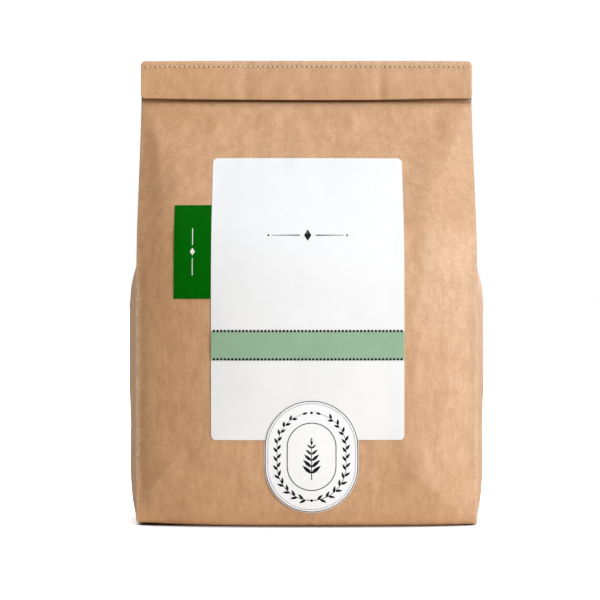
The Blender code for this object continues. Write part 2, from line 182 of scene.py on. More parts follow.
def fold_line(x, z, fold, sharp=None):
    """Height of one sharp-crested fold at the points x, z; sharp gives the rubbed crest instead."""
    x0, z0, x1, z1, height, left, right = fold
    length = math.hypot(x1 - x0, z1 - z0)
    along_x, along_z = (x1 - x0) / length, (z1 - z0) / length
    along = ((x - x0) * along_x + (z - z0) * along_z) / length
    across = (x - x0) * along_z - (z - z0) * along_x
    reach = np.where(across < 0, left, right) if sharp is None else sharp
    ends = smooth_step(1.25 - 2.5 * np.abs(along - 0.5), 0.0, 1.0)
    return (height if sharp is None else 1.0) * fading(across, reach) * ends


def upright_fold(x, z, fold):
    """A fold that wanders up the panel: a flat facet on its left, and a slow fall on its right."""
    stations, left, right = fold
    at, middle, height = (np.array(column) for column in zip(*stations))
    across = x - np.interp(z, at, middle)
    ramp = np.sqrt(across ** 2 + FOLD_RADIUS ** 2) - FOLD_RADIUS
    facet = np.clip(1 - ramp / left, 0.0, 1.0)
    fall = np.clip(1 - ramp / (1.6 * right), 0.0, 1.0) ** 1.15
    return np.interp(z, at, height) * np.where(across < 0, facet, fall)


def looseness(x, z):
    """Low under the label, whose second layer of paper stiffens the panel, and 1 away from it."""
    beside = np.abs(x - LABEL_CENTRE[0]) - LABEL_SIZE[0] / 2
    above = np.abs(z - LABEL_CENTRE[1]) - LABEL_SIZE[1] / 2
    return 0.25 + 0.75 * smooth_step(np.maximum(beside, above), -0.007, 0.003)


def soft_relief(x, z, folds, seed):
    """Folds and the contents' lumps: what a label glued to the panel follows too."""
    filled = np.clip((0.150 - z) / 0.030, 0.0, 1.0) * np.clip(z / 0.020, 0.0, 1.0)
    empty = smooth_step(z, 0.120, 0.175)
    lumps = noise_field(x, z, 0.036, seed) * 0.75 + noise_field(x, z, 0.017, seed + 9.0) * 0.25
    relief = CONTENT_LUMP * lumps * (0.3 + 0.7 * filled)
    gathered = smooth_step(z, 0.165, 0.205)
    waves = UPRIGHT_WAVE * noise_field(x, z, 0.015, seed + 5.0, tall=5.0) * (0.24 + 0.76 * empty)
    waves = waves + GATHER * noise_field(x, z, 0.0095, seed + 7.0, tall=5.0) * gathered
    relief = relief + waves * (looseness(x, z) if folds is FRONT_FOLDS else 1.0)
    for fold in folds:
        relief = relief + fold_line(x, z, fold)
    if folds is FRONT_FOLDS:
        for fold in UPRIGHT_FOLDS:
            relief = relief + upright_fold(x, z, fold)
    held = np.clip((NECK_TOP - z) / 0.010, 0.0, 1.0) * np.clip(z / 0.004, 0.0, 1.0)
    edge = 1 - np.clip(np.abs(x) / HALF, 0.0, 1.0) ** 10
    return relief * held * edge


probe_x, probe_z = np.array([[-0.0765], [0.0]]), np.array([[0.1785], [0.1785]])
stands = soft_relief(probe_x, probe_z, FRONT_FOLDS, FRONT_SEED).ravel() * 1000
print("relief on the left fold and in the middle, in mm:", np.round(stands, 1))

# %% The whole front and back panels
LEFT_ROUND = 0.0024
RIGHT_ROUND = 0.0016
DENT = 0.00032
SHOULDER = 0.0028
SHOULDER_FROM, SHOULDER_TURN, SHOULDER_TOP = 0.2050, 0.2196, 0.2241
SEAM_FROM, SEAM_TO, SEAM_STEP = -0.0020, 0.0120, 0.00035
ROLL_BOW = 0.0027


def shoulder(x, z):
    """The paper comes out from behind the roll almost touching its lower edge."""
    turned = np.clip((z - SHOULDER_TURN) / (SHOULDER_TOP - SHOULDER_TURN), 0.0, 1.0)
    return SHOULDER * smooth_step(z, SHOULDER_FROM, 0.2190) * np.sqrt(1 - turned ** 2) * bulge(x) ** 0.25


def dents(x, z, seed):
    """Small dents of handled paper, in patches."""
    patch = smooth_step(noise_field(x, z, 0.040, seed + 2.0), -0.35, 0.45)
    small = noise_field(x, z, 0.0085, seed, tall=1.5) + 0.5 * noise_field(x, z, 0.0042, seed + 4.0, tall=1.8)
    return DENT * (small - 0.9) * (0.35 + 0.65 * patch)


def bulge(x):
    return 1 - np.clip(np.abs(x) / HALF, 0.0, 1.0) ** SWELL_POWER


def edge_rounding(x, z):
    """The fill squares the panel up towards its creases: slowly on the left, tightly on the right."""
    left = LEFT_ROUND * (1 - np.exp(-(HALF + x) / 0.0110)) * (1 - smooth_step(x, -0.060, 0.020))
    right = RIGHT_ROUND * (1 - np.exp(-(HALF - x) / 0.0040)) * smooth_step(x, 0.028, 0.086)
    left = left * (1 - smooth_step(z, 0.175, 0.210))
    right = right * (1 - smooth_step(z, 0.140, 0.185))
    return (left + right) * smooth_step(z, 0.012, 0.040)


def roll_bow(x, z):
    """The mouth is stiff but not straight: the fill pushes its middle forward."""
    return ROLL_BOW * bulge(x) * smooth_step(z, 0.1950, 0.2245)


def corner_round(x, z):
    """How far the sharp front corner falls back as the paper turns the crease."""
    radius = np.minimum(PAPER_EDGE, crease_depth(z) - SLIT / 2)
    into = np.clip(np.abs(x) - (HALF - radius), 0.0, radius)
    return radius - np.sqrt(np.maximum(radius ** 2 - into ** 2, 0.0))


def panel_y(x, z):
    """The front panel as a label sees it: swell, folds and lumps, without the fine crumple."""
    swollen = crease_depth(z) + panel_swell(z) * bulge(x) + edge_rounding(x, z)
    return -swollen - soft_relief(x, z, FRONT_FOLDS, FRONT_SEED) - shoulder(x, z)


def off_edges(x, z):
    """0 where the paper is held by a crease or by the roll, 1 away from them."""
    return np.clip((NECK_TOP - z) / 0.006, 0.0, 1.0) * np.clip((HALF - np.abs(x)) / 0.003, 0.0, 1.0)


def front_y(x, z):
    return panel_y(x, z) + corner_round(x, z) - dents(x, z, 21.0) * off_edges(x, z)


def back_y(x, z):
    """The back panel, with the step of its long glued lap."""
    lap = smooth_step(x, SEAM_FROM - 0.0002, SEAM_FROM) * (1 - smooth_step(x, SEAM_TO - 0.006, SEAM_TO))
    swollen = crease_depth(z) + BACK_SWELL * panel_swell(z) * bulge(x)
    smooth = swollen + soft_relief(x, z, BACK_FOLDS, BACK_SEED)
    return smooth - corner_round(x, z) + (dents(x, z, 75.0) + SEAM_STEP * lap) * off_edges(x, z)


middle, half_way = np.array([0.0]), np.array([0.120])
thick = float((back_y(middle, half_way) - front_y(middle, half_way))[0])
print("the bag is", round(thick * 1000, 1), "mm thick half-way up")

# %% [markdown]
# ## The skin of the bag
# One continuous skin is lofted through horizontal rings, because the real bag is one tube of paper. A ring
# runs along the front, into the right side fold and out again, along the back, and through the left side
# fold. Two flat planes would be quicker for the sides, but then the side folds could not tuck in at the top.

# %% Rings of the standing part
CREASE_STEPS = (0.0024, 0.0013, 0.0007, 0.0004, 0.0002, 0.0)
GUSSET_STEPS = 30
DIAGONAL_TOP = 0.0505
inner = np.arange(-54, 55) * (HALF - 0.0040) / 54
front_x = np.concatenate([[-HALF + s for s in CREASE_STEPS[::-1]], inner, [HALF - s for s in CREASE_STEPS]])
lap_x = SEAM_FROM + np.array([-0.0006, -0.0002, 0.0, 0.0003, 0.0008])
back_x = np.unique(np.concatenate([front_x, lap_x]))[::-1]
gusset_u = np.linspace(0.0, 1.0, GUSSET_STEPS) ** 1.15


def diagonal_mark(y, z):
    """The bag was shipped flat: a pressed line climbs from each foot of a side fold to its middle."""
    return fading(z - DIAGONAL_TOP + np.abs(y), 0.0011) * (1 - smooth_step(z, 0.0470, 0.0530))


def side_fold(z):
    """One half of a side fold at height z: x outwards and y back from the crease to the middle."""
    out = float(gusset_out(z))
    depth = float(crease_depth(z))
    start = depth - min(PAPER_EDGE, depth - SLIT / 2)
    shape = np.sin(gusset_u * math.pi / 2) if out > 0 else gusset_u
    dent = noise_field(gusset_u * 0.05, np.full(GUSSET_STEPS, z), 0.022, 31.0)
    held = np.clip(gusset_u / 0.2, 0, 1) * np.clip((1 - gusset_u) / 0.1, 0.15, 1) * np.clip(z / 0.010, 0, 1)
    mark = 0.0007 * fading(1 - gusset_u, 0.05) * (out > 0)
    y = start * (1 - gusset_u) + SLIT / 2 * gusset_u
    fine = 0.00022 * noise_field(y, np.full(GUSSET_STEPS, z), 0.0075, 33.0) * held
    pressed = 0.00045 * diagonal_mark(y, z) * np.clip(z / 0.004, 0, 1)
    x = HALF + out * shape + (0.0006 * dent * held + fine) * (out > -0.02) - mark - pressed
    return x, y


def ring(z):
    """One closed loop of the bag at height z, as rows of x and y."""
    gusset_x, gusset_y = side_fold(z)
    front = np.stack([front_x, front_y(front_x, np.full(len(front_x), z))], axis=1)
    back = np.stack([back_x, back_y(back_x, np.full(len(back_x), z))], axis=1)
    right_in = np.stack([gusset_x, -gusset_y], axis=1)[1:]
    right_out = np.stack([gusset_x, gusset_y], axis=1)[::-1][:-1]
    left_in, left_out = (-half[::-1] * [1, -1] for half in (right_out, right_in))
    return np.concatenate([front, right_in, right_out, back, left_in, left_out])


probe = ring(0.060)
print("points round one ring:", len(probe), "width in mm:", round(np.ptp(probe[:, 0]) * 1000, 1))

# %% [markdown]
# ## The rolled mouth
# At the neck the ring has become a flat strip: front, two folded sides, back. The same strip is carried along
# a path that goes up, turns forward over the top, comes down, turns under and climbs back inside. A roll
# made this way shows its true layers at both ends, which a plain bar laid on top of the bag would not.

# %% The path of the roll
BEND_STEPS = 12
STRAIGHT_PITCH = 0.0016
NECK_THICKNESS = 2 * PLY + SLIT
LAYER_PITCH = NECK_THICKNESS + SLIT
TOP_FOLD_Z = HEIGHT - LAYER_PITCH - NECK_THICKNESS / 2
LOWER_FOLD_Z = HEIGHT - BAND_HEIGHT + LAYER_PITCH / 2 + NECK_THICKNESS / 2
BAND_FACE_Y = -2 * LAYER_PITCH - NECK_THICKNESS / 2
STITCH_Z = HEIGHT - 0.0033


def bend(centre_y, centre_z, radius, start_angle, pressed=1.0):
    """Half a turn of the strip; pressed under 1 squares it off, as a thumb does along a fold."""
    stops = []
    for a in start_angle + np.arange(BEND_STEPS + 1) * math.pi / BEND_STEPS:
        c, s = math.cos(a), math.sin(a)
        out_y, out_z = (math.copysign(abs(v) ** pressed, v) for v in (c, s))
        stops.append((centre_y + radius * out_y, centre_z + radius * out_z, out_y, out_z))
    return stops


def straight(y, low, high, facing):
    count = max(2, round(abs(high - low) / STRAIGHT_PITCH))
    return [(y, low + (high - low) * k / count, facing, 0.0) for k in range(1, count)]


roll_path = straight(0.0, NECK_TOP, TOP_FOLD_Z, 1.0)
roll_path += bend(-LAYER_PITCH, TOP_FOLD_Z, LAYER_PITCH, 0.0, pressed=0.72)
roll_path += straight(-2 * LAYER_PITCH, TOP_FOLD_Z, LOWER_FOLD_Z, -1.0)
roll_path += bend(-1.5 * LAYER_PITCH, LOWER_FOLD_Z, LAYER_PITCH / 2, math.pi, pressed=0.55)
roll_path += straight(-LAYER_PITCH, LOWER_FOLD_Z, TOP_FOLD_Z - SLIT, 1.0)
print("rows along the roll:", len(roll_path), "front of the band at y in mm:", round(BAND_FACE_Y * 1000, 2))

# %% [markdown]
# A rolled and sewn mouth is never a straight bar. Its lower edge waves a little, the face puffs out below the
# stitches where the layers spring apart, and the two side folds inside print through as faint upright steps.
# The stitches and their holes are placed by the same function, so they stay on the paper.

# %% Waves of the roll
GROOVES = (-0.0335, 0.0397)
GROOVE_DEPTH = 0.00070
GROOVE_WIDTH = 0.0024
END_ROUND = 0.0013


def edge_drop(x):
    """The lower edge of the roll hangs lowest in the middle and wanders a little."""
    return 0.00025 * noise_field(x, np.zeros_like(x), 0.045, 47.0) - 0.0009 + 0.0013 * (np.abs(x) / HALF) ** 2


def band_wave(x, z):
    """How far the face of the band stands forward of its flat plane, and how far its lower edge drops."""
    below = smooth_step(HEIGHT - z, 0.0045, 0.0100) * (1 - smooth_step(HEIGHT - z, 0.0160, 0.0205))
    puff = 0.00045 * below * (1 + 0.8 * noise_field(x, np.zeros_like(x), 0.030, 41.0))
    ripple = 0.00030 * noise_field(x, z, 0.0085, 43.0, tall=1.4) * smooth_step(HEIGHT - z, 0.0008, 0.0040)
    deeper = 0.35 + 0.65 * smooth_step(HEIGHT - z, 0.0050, 0.0110)
    printed = -GROOVE_DEPTH * deeper * sum(bell(x - middle, GROOVE_WIDTH) for middle in GROOVES)
    return puff + ripple + printed, smooth_step(HEIGHT - z, 0.0060, 0.0200) * edge_drop(x)


def rolled_ring(stop, flat):
    """The flat strip carried to one stop of the roll."""
    y, z, out_y, out_z = stop
    forward, drop = band_wave(flat[:, 0], np.full(len(flat), z + flat[:, 1].mean() * out_z))
    outermost = smooth_step(-y, LAYER_PITCH * 1.05, LAYER_PITCH * 1.9)
    narrower = 1 - END_ROUND * out_z ** 2 / HALF
    forward, drop = forward * outermost, drop * outermost
    across = flat[:, 1]
    return np.stack([flat[:, 0] * narrower, y + across * out_y - forward, z + across * out_z + drop], axis=1)


flat_strip = ring(NECK_TOP)
trial = rolled_ring((-2 * LAYER_PITCH, HEIGHT - 0.012, -1.0, 0.0), flat_strip)
print("band face in mm of y:", *(round(edge * 1000, 2) for edge in (trial[:, 1].min(), trial[:, 1].max())))

# %% [markdown]
# The rings are joined with quads. The lowest ones are drawn in, where the paper turns under the bag, and the
# edge of the bottom stands off the floor by a fraction of a millimetre, as a filled bag does.

# %% Mesh helpers
def make_mesh(name, points, faces, smooth=True):
    """A mesh object from lists of points and faces."""
    mesh = bpy.data.meshes.new(name)
    mesh.from_pydata([tuple(p) for p in points], [], faces)
    mesh.validate()
    if smooth:
        mesh.shade_smooth()
    piece = bpy.data.objects.new(name, mesh)
    bpy.context.scene.collection.objects.link(piece)
    return piece


def carry(piece, name, values):
    """Give each point of a piece a number that its material can read."""
    values = np.asarray(values, dtype=np.float32).ravel()
    piece.data.attributes.new(name, "FLOAT", "POINT").data.foreach_set("value", values)


def grid_quads(rows, columns):
    """Quads of a grid whose points run along its rows, with the corners in turning order."""
    index = np.arange(rows * columns).reshape(rows, columns)
    return np.stack([index[:-1, :-1], index[:-1, 1:], index[1:, 1:], index[1:, :-1]], axis=-1).reshape(-1, 4)


def ring_faces(rows, count):
    """Quads between closed rings of count points each."""
    corner = np.arange(rows - 1)[:, None] * count + np.arange(count)[None, :]
    beside = np.arange(rows - 1)[:, None] * count + (np.arange(count)[None, :] + 1) % count
    return np.stack([corner, beside, beside + count, corner + count], axis=-1).reshape(-1, 4)


print("one strip of quads between rings of", len(probe), "points:", len(ring_faces(2, len(probe))))

# %% Join the rings into the skin
BOTTOM_RADIUS = 0.0022
FOOT_DEPTH = CREASE_DEPTH[0][1]
TURNED_UNDER = 0.0030


def foot_lift(x, y):
    """How far the edge of the bottom stands off the floor: most at the left front corner."""
    left_front = 0.0007 * smooth_step(-x, 0.030, HALF) * smooth_step(-y, 0.020, 0.050)
    others = 0.0002 * smooth_step(np.abs(x), 0.060, HALF) * smooth_step(np.abs(y), 0.030, 0.050)
    return 0.0001 + left_front + others + 0.0001 * noise_field(x, y, 0.040, 63.0)


def standing_ring(z):
    """A ring in space, drawn in where the paper turns under the bag."""
    flat = ring(z)
    drop = max(BOTTOM_RADIUS - z, 0.0)
    inset = BOTTOM_RADIUS - math.sqrt(max(BOTTOM_RADIUS ** 2 - drop ** 2, 0.0))
    limit = np.array([HALF, float(crease_depth(0.0))])
    flat = flat * (1 - inset / limit)
    raised = foot_lift(flat[:, 0], flat[:, 1]) * (1 - smooth_step(z, 0.0, 0.016))
    return np.column_stack([flat, z + raised])


heights = [0.0, 0.0002, 0.0005, 0.0009, 0.0014, 0.0022] + list(np.arange(0.0036, 0.2222, 0.0016))
heights += [0.2226, 0.2230, 0.2233, 0.2236, 0.2238, 0.22395, 0.2241, NECK_TOP]
loops = [standing_ring(z) for z in heights]
loops += [rolled_ring(stop, flat_strip) for stop in roll_path]
under = loops[0] * [1 - TURNED_UNDER / HALF, 1 - TURNED_UNDER / FOOT_DEPTH, 1.0] + [0.0, 0.0, 0.0040]
loops = [under] + loops
per_ring = len(flat_strip)
skin_points = np.concatenate(loops)
skin_points[:, 1] -= roll_bow(skin_points[:, 0], skin_points[:, 2])
skin_faces = ring_faces(len(loops), per_ring).tolist()
skin_faces.append(list(range(per_ring))[::-1])
skin_faces.append(list(range(per_ring * (len(loops) - 1), per_ring * len(loops))))
kraft_bag = make_mesh("kraft_bag", skin_points, skin_faces)
print("skin:", len(skin_points), "points,", len(skin_faces), "faces")

# %% [markdown]
# Each point also gets a value for rubbing and painted highlight: how much a fold or an edge has been rubbed
# there, and where highlights are painted. It could be painted by hand, but the creases are known here, so the
# mesh can carry it and the paper's colour can read it.

# %% Rub the folds and edges, and paint highlights
FOLD_WIDTH = 0.049


def ring_marks(seam=0.0):
    """How close each point of a ring lies to a folded edge: 1 on it, 0 away from it."""
    along_front = bell(HALF - np.abs(front_x), 0.0010)
    inwards = gusset_u[1:] * FOLD_WIDTH
    along_gusset = fading(inwards, 0.0009) + 0.5 * fading(FOLD_WIDTH - inwards, 0.0008)
    along_gusset = np.concatenate([along_gusset, along_gusset[::-1]])
    along_back = bell(HALF - np.abs(back_x), 0.0013) + seam * fading(back_x - SEAM_FROM + 0.0001, 0.0003)
    return np.concatenate([along_front, along_gusset, along_back, along_gusset])


def beside_crease(x, z, gap, width):
    """A line that runs up the front beside both its creases, as far up as the bag is filled."""
    standing = smooth_step(z, 0.015, 0.040) * (1 - smooth_step(z, 0.125, 0.150))
    return bell(HALF - np.abs(x) - gap, width) * standing


def painted_lit_facet(x, z):
    """Painted highlight on the right facet, past the fold that wanders up the panel."""
    ridge_z, ridge_x, _ = zip(*UPRIGHT_FOLDS[1][0])
    past_ridge = smooth_step(x - np.interp(z, ridge_z, ridge_x), -0.006, 0.005)
    upwards = (0.30 + 0.70 * smooth_step(z, 0.080, 0.140)) * (1 - smooth_step(z, 0.200, 0.222))
    return 0.20 * past_ridge * upwards


def wear_and_highlight_of(points, marks):
    """Rubbing on the folded edges and on the crests of the panel folds, broken up along them, and painted
    highlights.
    """
    x, y, z = points.T
    broken = 0.55 + 0.75 * noise_field(z + 0.3 * y, x, 0.0075, 91.0)
    rubbed = np.clip(broken, 0.2, 1.0)
    wear_and_highlight = 0.90 * marks * np.clip(broken, 0.45, 1.0) * (1 - 0.6 * smooth_step(z, 0.135, 0.165))
    on_side = (np.abs(x) > HALF - 0.0005) & (np.abs(y) < 0.048)
    wear_and_highlight = wear_and_highlight + 0.28 * on_side * diagonal_mark(y, z) * rubbed
    off_crease = np.abs(x) < HALF - 0.001
    on_front, on_back = (y < 0) & off_crease, (y > 0) & off_crease
    for folds, where, strength in ((BACK_FOLDS, on_back, 0.22), (FRONT_FOLDS, on_front, 0.30)):
        for fold in folds:
            wear_and_highlight = wear_and_highlight + strength * where * fold_line(x, z, fold, sharp=0.0009) * rubbed
    on_roll = (y + roll_bow(x, z) < -0.0030) & (z > HEIGHT - BAND_HEIGHT - 0.0010)
    above_edge = z - (HEIGHT - BAND_HEIGHT + edge_drop(x))
    # Painted highlight: the roll's face is made lighter, most just under its top fold.
    wear_and_highlight = wear_and_highlight + on_roll * (0.06 + 0.26 * bell(HEIGHT - z, 0.0024))
    # Painted highlight on the right facet of the front.
    wear_and_highlight = wear_and_highlight + painted_lit_facet(x, z) * (on_front & ~on_roll)
    # Painted highlight: a light line beside the left front crease.
    wear_and_highlight = wear_and_highlight + 0.62 * beside_crease(x, z, 0.0008, 0.0010) * (x < 0) * (y < 0)
    turn = fading(z - HEIGHT, 0.0007) + 0.8 * on_roll * fading(above_edge, 0.0007)
    return np.clip(wear_and_highlight + 0.35 * turn * rubbed, 0.0, 1.0)


marks = np.concatenate([np.tile(ring_marks(0.9), len(heights) + 1), np.tile(ring_marks(), len(roll_path))])
wear_and_highlight = wear_and_highlight_of(skin_points, marks)
carry(kraft_bag, "wear_and_highlight", wear_and_highlight)
print("points rubbed more than half:", int((wear_and_highlight > 0.5).sum()), "of", len(wear_and_highlight))

# %% [markdown]
# Shade is painted into the paper's colour: under the roll, in thin lines beside the front creases, along the
# back's lap and on the left of the front. A second number says how much. It is kept apart from the rubbing
# value, which makes the paper lighter.

# %% Paint shade under the roll, beside the creases and along the lap
STANDING_ROWS = len(heights) + 1
HIDDEN_ROWS = 5
PAINTED_SHADE_FADE = 0.0017


def painted_shade_of(points):
    """How much painted shade each point gets: under the roll, along the back's lap, beside the front creases
    and on the left.
    """
    x, y, z = points.T
    row = np.arange(len(points)) // per_ring
    # Painted shade under the roll, fading downwards from its lower edge.
    under_roll = HEIGHT - BAND_HEIGHT + edge_drop(x) - z
    painted_shade = np.exp(-np.clip(under_roll, 0.0, 1.0) / PAINTED_SHADE_FADE) * (under_roll < 0.012)
    # Painted shade: the left of the front is darkened a little by its x position.
    painted_shade_left = 0.05 * smooth_step(-x, 0.045, 0.065)
    # Painted shade lines beside both front creases.
    left_line, right_line = beside_crease(x, z, 0.0042, 0.0016), beside_crease(x, z, 0.0026, 0.0020)
    painted_crease_shade = np.where(x < 0, 0.14 * left_line, 0.16 * right_line)
    in_front = (y + roll_bow(x, z) < -NECK_HALF * 0.8) & (row < STANDING_ROWS + HIDDEN_ROWS)
    painted_shade = np.where(in_front, np.maximum(painted_shade, painted_shade_left) + painted_crease_shade, 0.0)
    # Painted shadow line along the edge of the back's glued lap.
    painted_lap_shadow = 0.30 * fading(x - SEAM_FROM + 0.0002, 0.00025)
    return np.where((y > 0) & (row < STANDING_ROWS), np.maximum(painted_shade, painted_lap_shadow), painted_shade)


carry(kraft_bag, "painted_shade", painted_shade_of(skin_points))
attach(kraft_bag, "root")
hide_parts("paper_bag")
print("rows that stand:", STANDING_ROWS, "rows in the roll:", len(roll_path))

# %% [markdown]
# ## The pasted bottom
# Under a block-bottom bag the two sides fold in first as triangles, then the back flap and the front flap
# close over them and are pasted. One sheet with stepped heights is enough to show the three layers, as long
# as no layer goes below the floor. Three separate flaps would look the same and could poke through.

# %% Flaps of the bottom
FLAP_PLY = 0.00032
ROOM_UNDER_FILL = 0.00105
FLAP_EDGE = 0.0140
BOTTOM_SIZE = (2 * (HALF - TURNED_UNDER), 2 * (FOOT_DEPTH - TURNED_UNDER))
UNDER_RIM = 0.0012


def triangle_edge(x, y):
    """Distance past the slanted edge of the flaps, into the folded-in triangles at both ends."""
    return np.abs(x) - (BOTTOM_SIZE[0] - BOTTOM_SIZE[1]) / 2 - np.abs(y)


def bottom_z(x, y):
    """Height of the underside: the outer flap lies lowest, the folded-in triangles highest."""
    deep, wide = BOTTOM_SIZE[1] / 2, BOTTOM_SIZE[0] / 2
    in_triangle = smooth_step(triangle_edge(x, y), 0.0, 0.0006)
    over = smooth_step(y, FLAP_EDGE - 0.0003, FLAP_EDGE + 0.0003)
    layer = np.maximum(2 * FLAP_PLY * in_triangle, FLAP_PLY * over)
    rim = np.minimum(wide - np.abs(x), deep - np.abs(y))
    raised = foot_lift(x, y) * (1 - smooth_step(rim, 0.002, 0.014))
    sag = 0.00012 * (1 + noise_field(x, y, 0.030, 67.0)) * smooth_step(rim, 0.0, 0.012)
    return np.minimum(0.00002 + layer * smooth_step(rim, 0.0, 0.0015) + raised + sag, ROOM_UNDER_FILL)


halves = [size / 2 + UNDER_RIM for size in BOTTOM_SIZE]
flat_x, flat_y = np.meshgrid(np.linspace(-halves[0], halves[0], 150), np.linspace(-halves[1], halves[1], 110))
bow = float(panel_swell(0.0)) * bulge(flat_x) * np.where(flat_y < 0, 1.0, BACK_SWELL)
bowed_y = flat_y * (1 + bow / float(crease_depth(0.0)))
bottom_points = np.stack([flat_x, bowed_y, bottom_z(flat_x, flat_y)], axis=-1).reshape(-1, 3)
facing_down = grid_quads(*flat_x.shape)[:, [0, 3, 2, 1]]
folded_bottom = make_mesh("folded_bottom", bottom_points, facing_down.tolist())
into_triangle = triangle_edge(flat_x, flat_y)
flap_lines = fading(into_triangle, 0.0006) + fading(flat_y - FLAP_EDGE, 0.0005) * (into_triangle < 0)
carry(folded_bottom, "wear_and_highlight", np.clip(0.55 * flap_lines, 0, 1))
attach(folded_bottom, "root")
print("bottom layers span", round(float(np.ptp(bottom_points[:, 2])) * 1000, 2), "mm")

# %% [markdown]
# ## Kraft paper
# Kraft is unbleached wood fibre, pressed while the web runs one way. So the fibres lie mostly upright on the
# bag, the sheet is cloudy where they bunched, and a few dark fibres show singly. Handling bruises it into
# fine pale creases, and the folds rub light. A flat image of paper would stretch over the folds, so all of
# this is built from noise in the bag's own space, which every view and every copy keeps.

# %% Helpers for finishes
def new_finish(name, colour, roughness, specular=0.5):
    """A material with one main shader, and its node tree."""
    finish = bpy.data.materials.new(name)
    finish.use_nodes = True
    shader = finish.node_tree.nodes["Principled BSDF"]
    shader.inputs["Base Color"].default_value = (*colour, 1)
    shader.inputs["Roughness"].default_value = roughness
    shader.inputs["Specular IOR Level"].default_value = specular
    finish.diffuse_color = (*colour, 1)
    return finish, finish.node_tree, shader


def add(tree, kind, inputs=(), **settings):
    """One node with its settings; inputs are (socket, value or output to wire in)."""
    made = tree.nodes.new("ShaderNode" + kind)
    for key, value in settings.items():
        setattr(made, key, value)
    for socket, value in inputs:
        if isinstance(value, bpy.types.NodeSocket):
            tree.links.new(value, made.inputs[socket])
        else:
            made.inputs[socket].default_value = value
    return made


def paper_noise(tree, place, upright, scale, detail=3.0, rough=0.6, warp=0.0):
    """Noise in the bag's own space; upright under 1 draws it out along z, the way the fibres lie."""
    mapped = add(tree, "Mapping", [("Vector", place), ("Scale", (1.0, 1.0, upright))])
    cloud = add(tree, "TexNoise", [
        ("Vector", mapped.outputs["Vector"]), ("Scale", scale), ("Detail", detail), ("Roughness", rough),
        ("Distortion", warp),
    ])
    return cloud.outputs["Fac"]


def ranged(tree, value, from_low, from_high, to_low, to_high):
    """The value eased from one range into another."""
    sockets = ("Value", "From Min", "From Max", "To Min", "To Max")
    limits = zip(sockets, (value, from_low, from_high, to_low, to_high))
    return add(tree, "MapRange", limits, interpolation_type="SMOOTHSTEP").outputs["Result"]


def sum_of(tree, first, second, operation="ADD"):
    """One step of arithmetic on two outputs or numbers."""
    return add(tree, "Math", [(0, first), (1, second)], operation=operation).outputs[0]


def product(tree, first, second):
    return sum_of(tree, first, second, "MULTIPLY")


def mixed(tree, factor, first, second, blend="MIX"):
    """Colour mix; first and second are outputs or colours."""
    mix = add(tree, "Mix", data_type="RGBA", blend_type=blend)
    for socket, value in ((mix.inputs["Factor"], factor), (mix.inputs[6], first), (mix.inputs[7], second)):
        if isinstance(value, bpy.types.NodeSocket):
            tree.links.new(value, socket)
        else:
            socket.default_value = (*value, 1) if isinstance(value, tuple) else value
    return mix.outputs[2]


def add_up(tree, *parts):
    """Weighted sum of (output, weight) pairs."""
    total = product(tree, *parts[0])
    for output, weight in parts[1:]:
        total = sum_of(tree, total, product(tree, output, weight))
    return total


def surface(tree, shader, colour, relief, strength, distance, rough=None):
    """Wire the colour and the bump that a finish has worked out, and its roughness where that varies."""
    bump = add(tree, "Bump", [("Strength", strength), ("Distance", distance), ("Height", relief)])
    tree.links.new(bump.outputs["Normal"], shader.inputs["Normal"])
    tree.links.new(colour, shader.inputs["Base Color"])
    if rough is not None:
        tree.links.new(rough, shader.inputs["Roughness"])


print("finish helpers ready")

# %% Colours and small marks of the paper
KRAFT_DARK = (0.430, 0.211, 0.086)
KRAFT_MID = (0.585, 0.318, 0.145)
KRAFT_LIGHT = (0.700, 0.414, 0.212)
KRAFT_WEAR_AND_HIGHLIGHT = (0.800, 0.570, 0.380)
KRAFT_FIBRE = (0.250, 0.120, 0.050)
# Colour of the painted shade.
KRAFT_PAINTED_SHADE = (0.075, 0.032, 0.012)
# Painted shade: the left side is tinted warmer, standing in for light bounced between paper and paper.
KRAFT_PAINTED_BOUNCE_TINT = (1.0, 0.955, 0.900)  # light bounced between paper and paper warms the shaded side


def single_fibres(tree, place):
    """Single dark fibres, a few here and there."""
    leaning = [("Vector", place), ("Scale", (1.0, 1.0, 0.28)), ("Rotation", (0.1, 0.2, 0.3))]
    mapped = add(tree, "Mapping", leaning).outputs["Vector"]
    fibres = add(tree, "TexVoronoi", [("Vector", mapped), ("Scale", 520.0)])
    single = ranged(tree, fibres.outputs["Distance"], 0.05, 0.16, 1.0, 0.0)
    rare = ranged(tree, paper_noise(tree, place, 1.0, 300.0, 1.0), 0.58, 0.66, 0.0, 0.5)
    return product(tree, single, rare)


def handling_creases(tree, place):
    """Fine creases on one side of a noise's middle line, in the patches that were handled."""
    bruise = paper_noise(tree, place, 0.7, 70.0, 2.0, 0.5, 1.2)
    crease = ranged(tree, sum_of(tree, bruise, 0.5, "SUBTRACT"), 0.0, 0.012, 1.0, 0.0)
    handled = ranged(tree, paper_noise(tree, place, 1.0, 36.0, 2.0), 0.52, 0.66, 0.0, 1.0)
    return product(tree, crease, handled)


def point_number(tree, name):
    """A number that the mesh carries at each point."""
    return add(tree, "Attribute", attribute_name=name, attribute_type="GEOMETRY").outputs["Fac"]


print("kraft in linear colour, from dark to rubbed:", KRAFT_DARK, KRAFT_WEAR_AND_HIGHLIGHT)

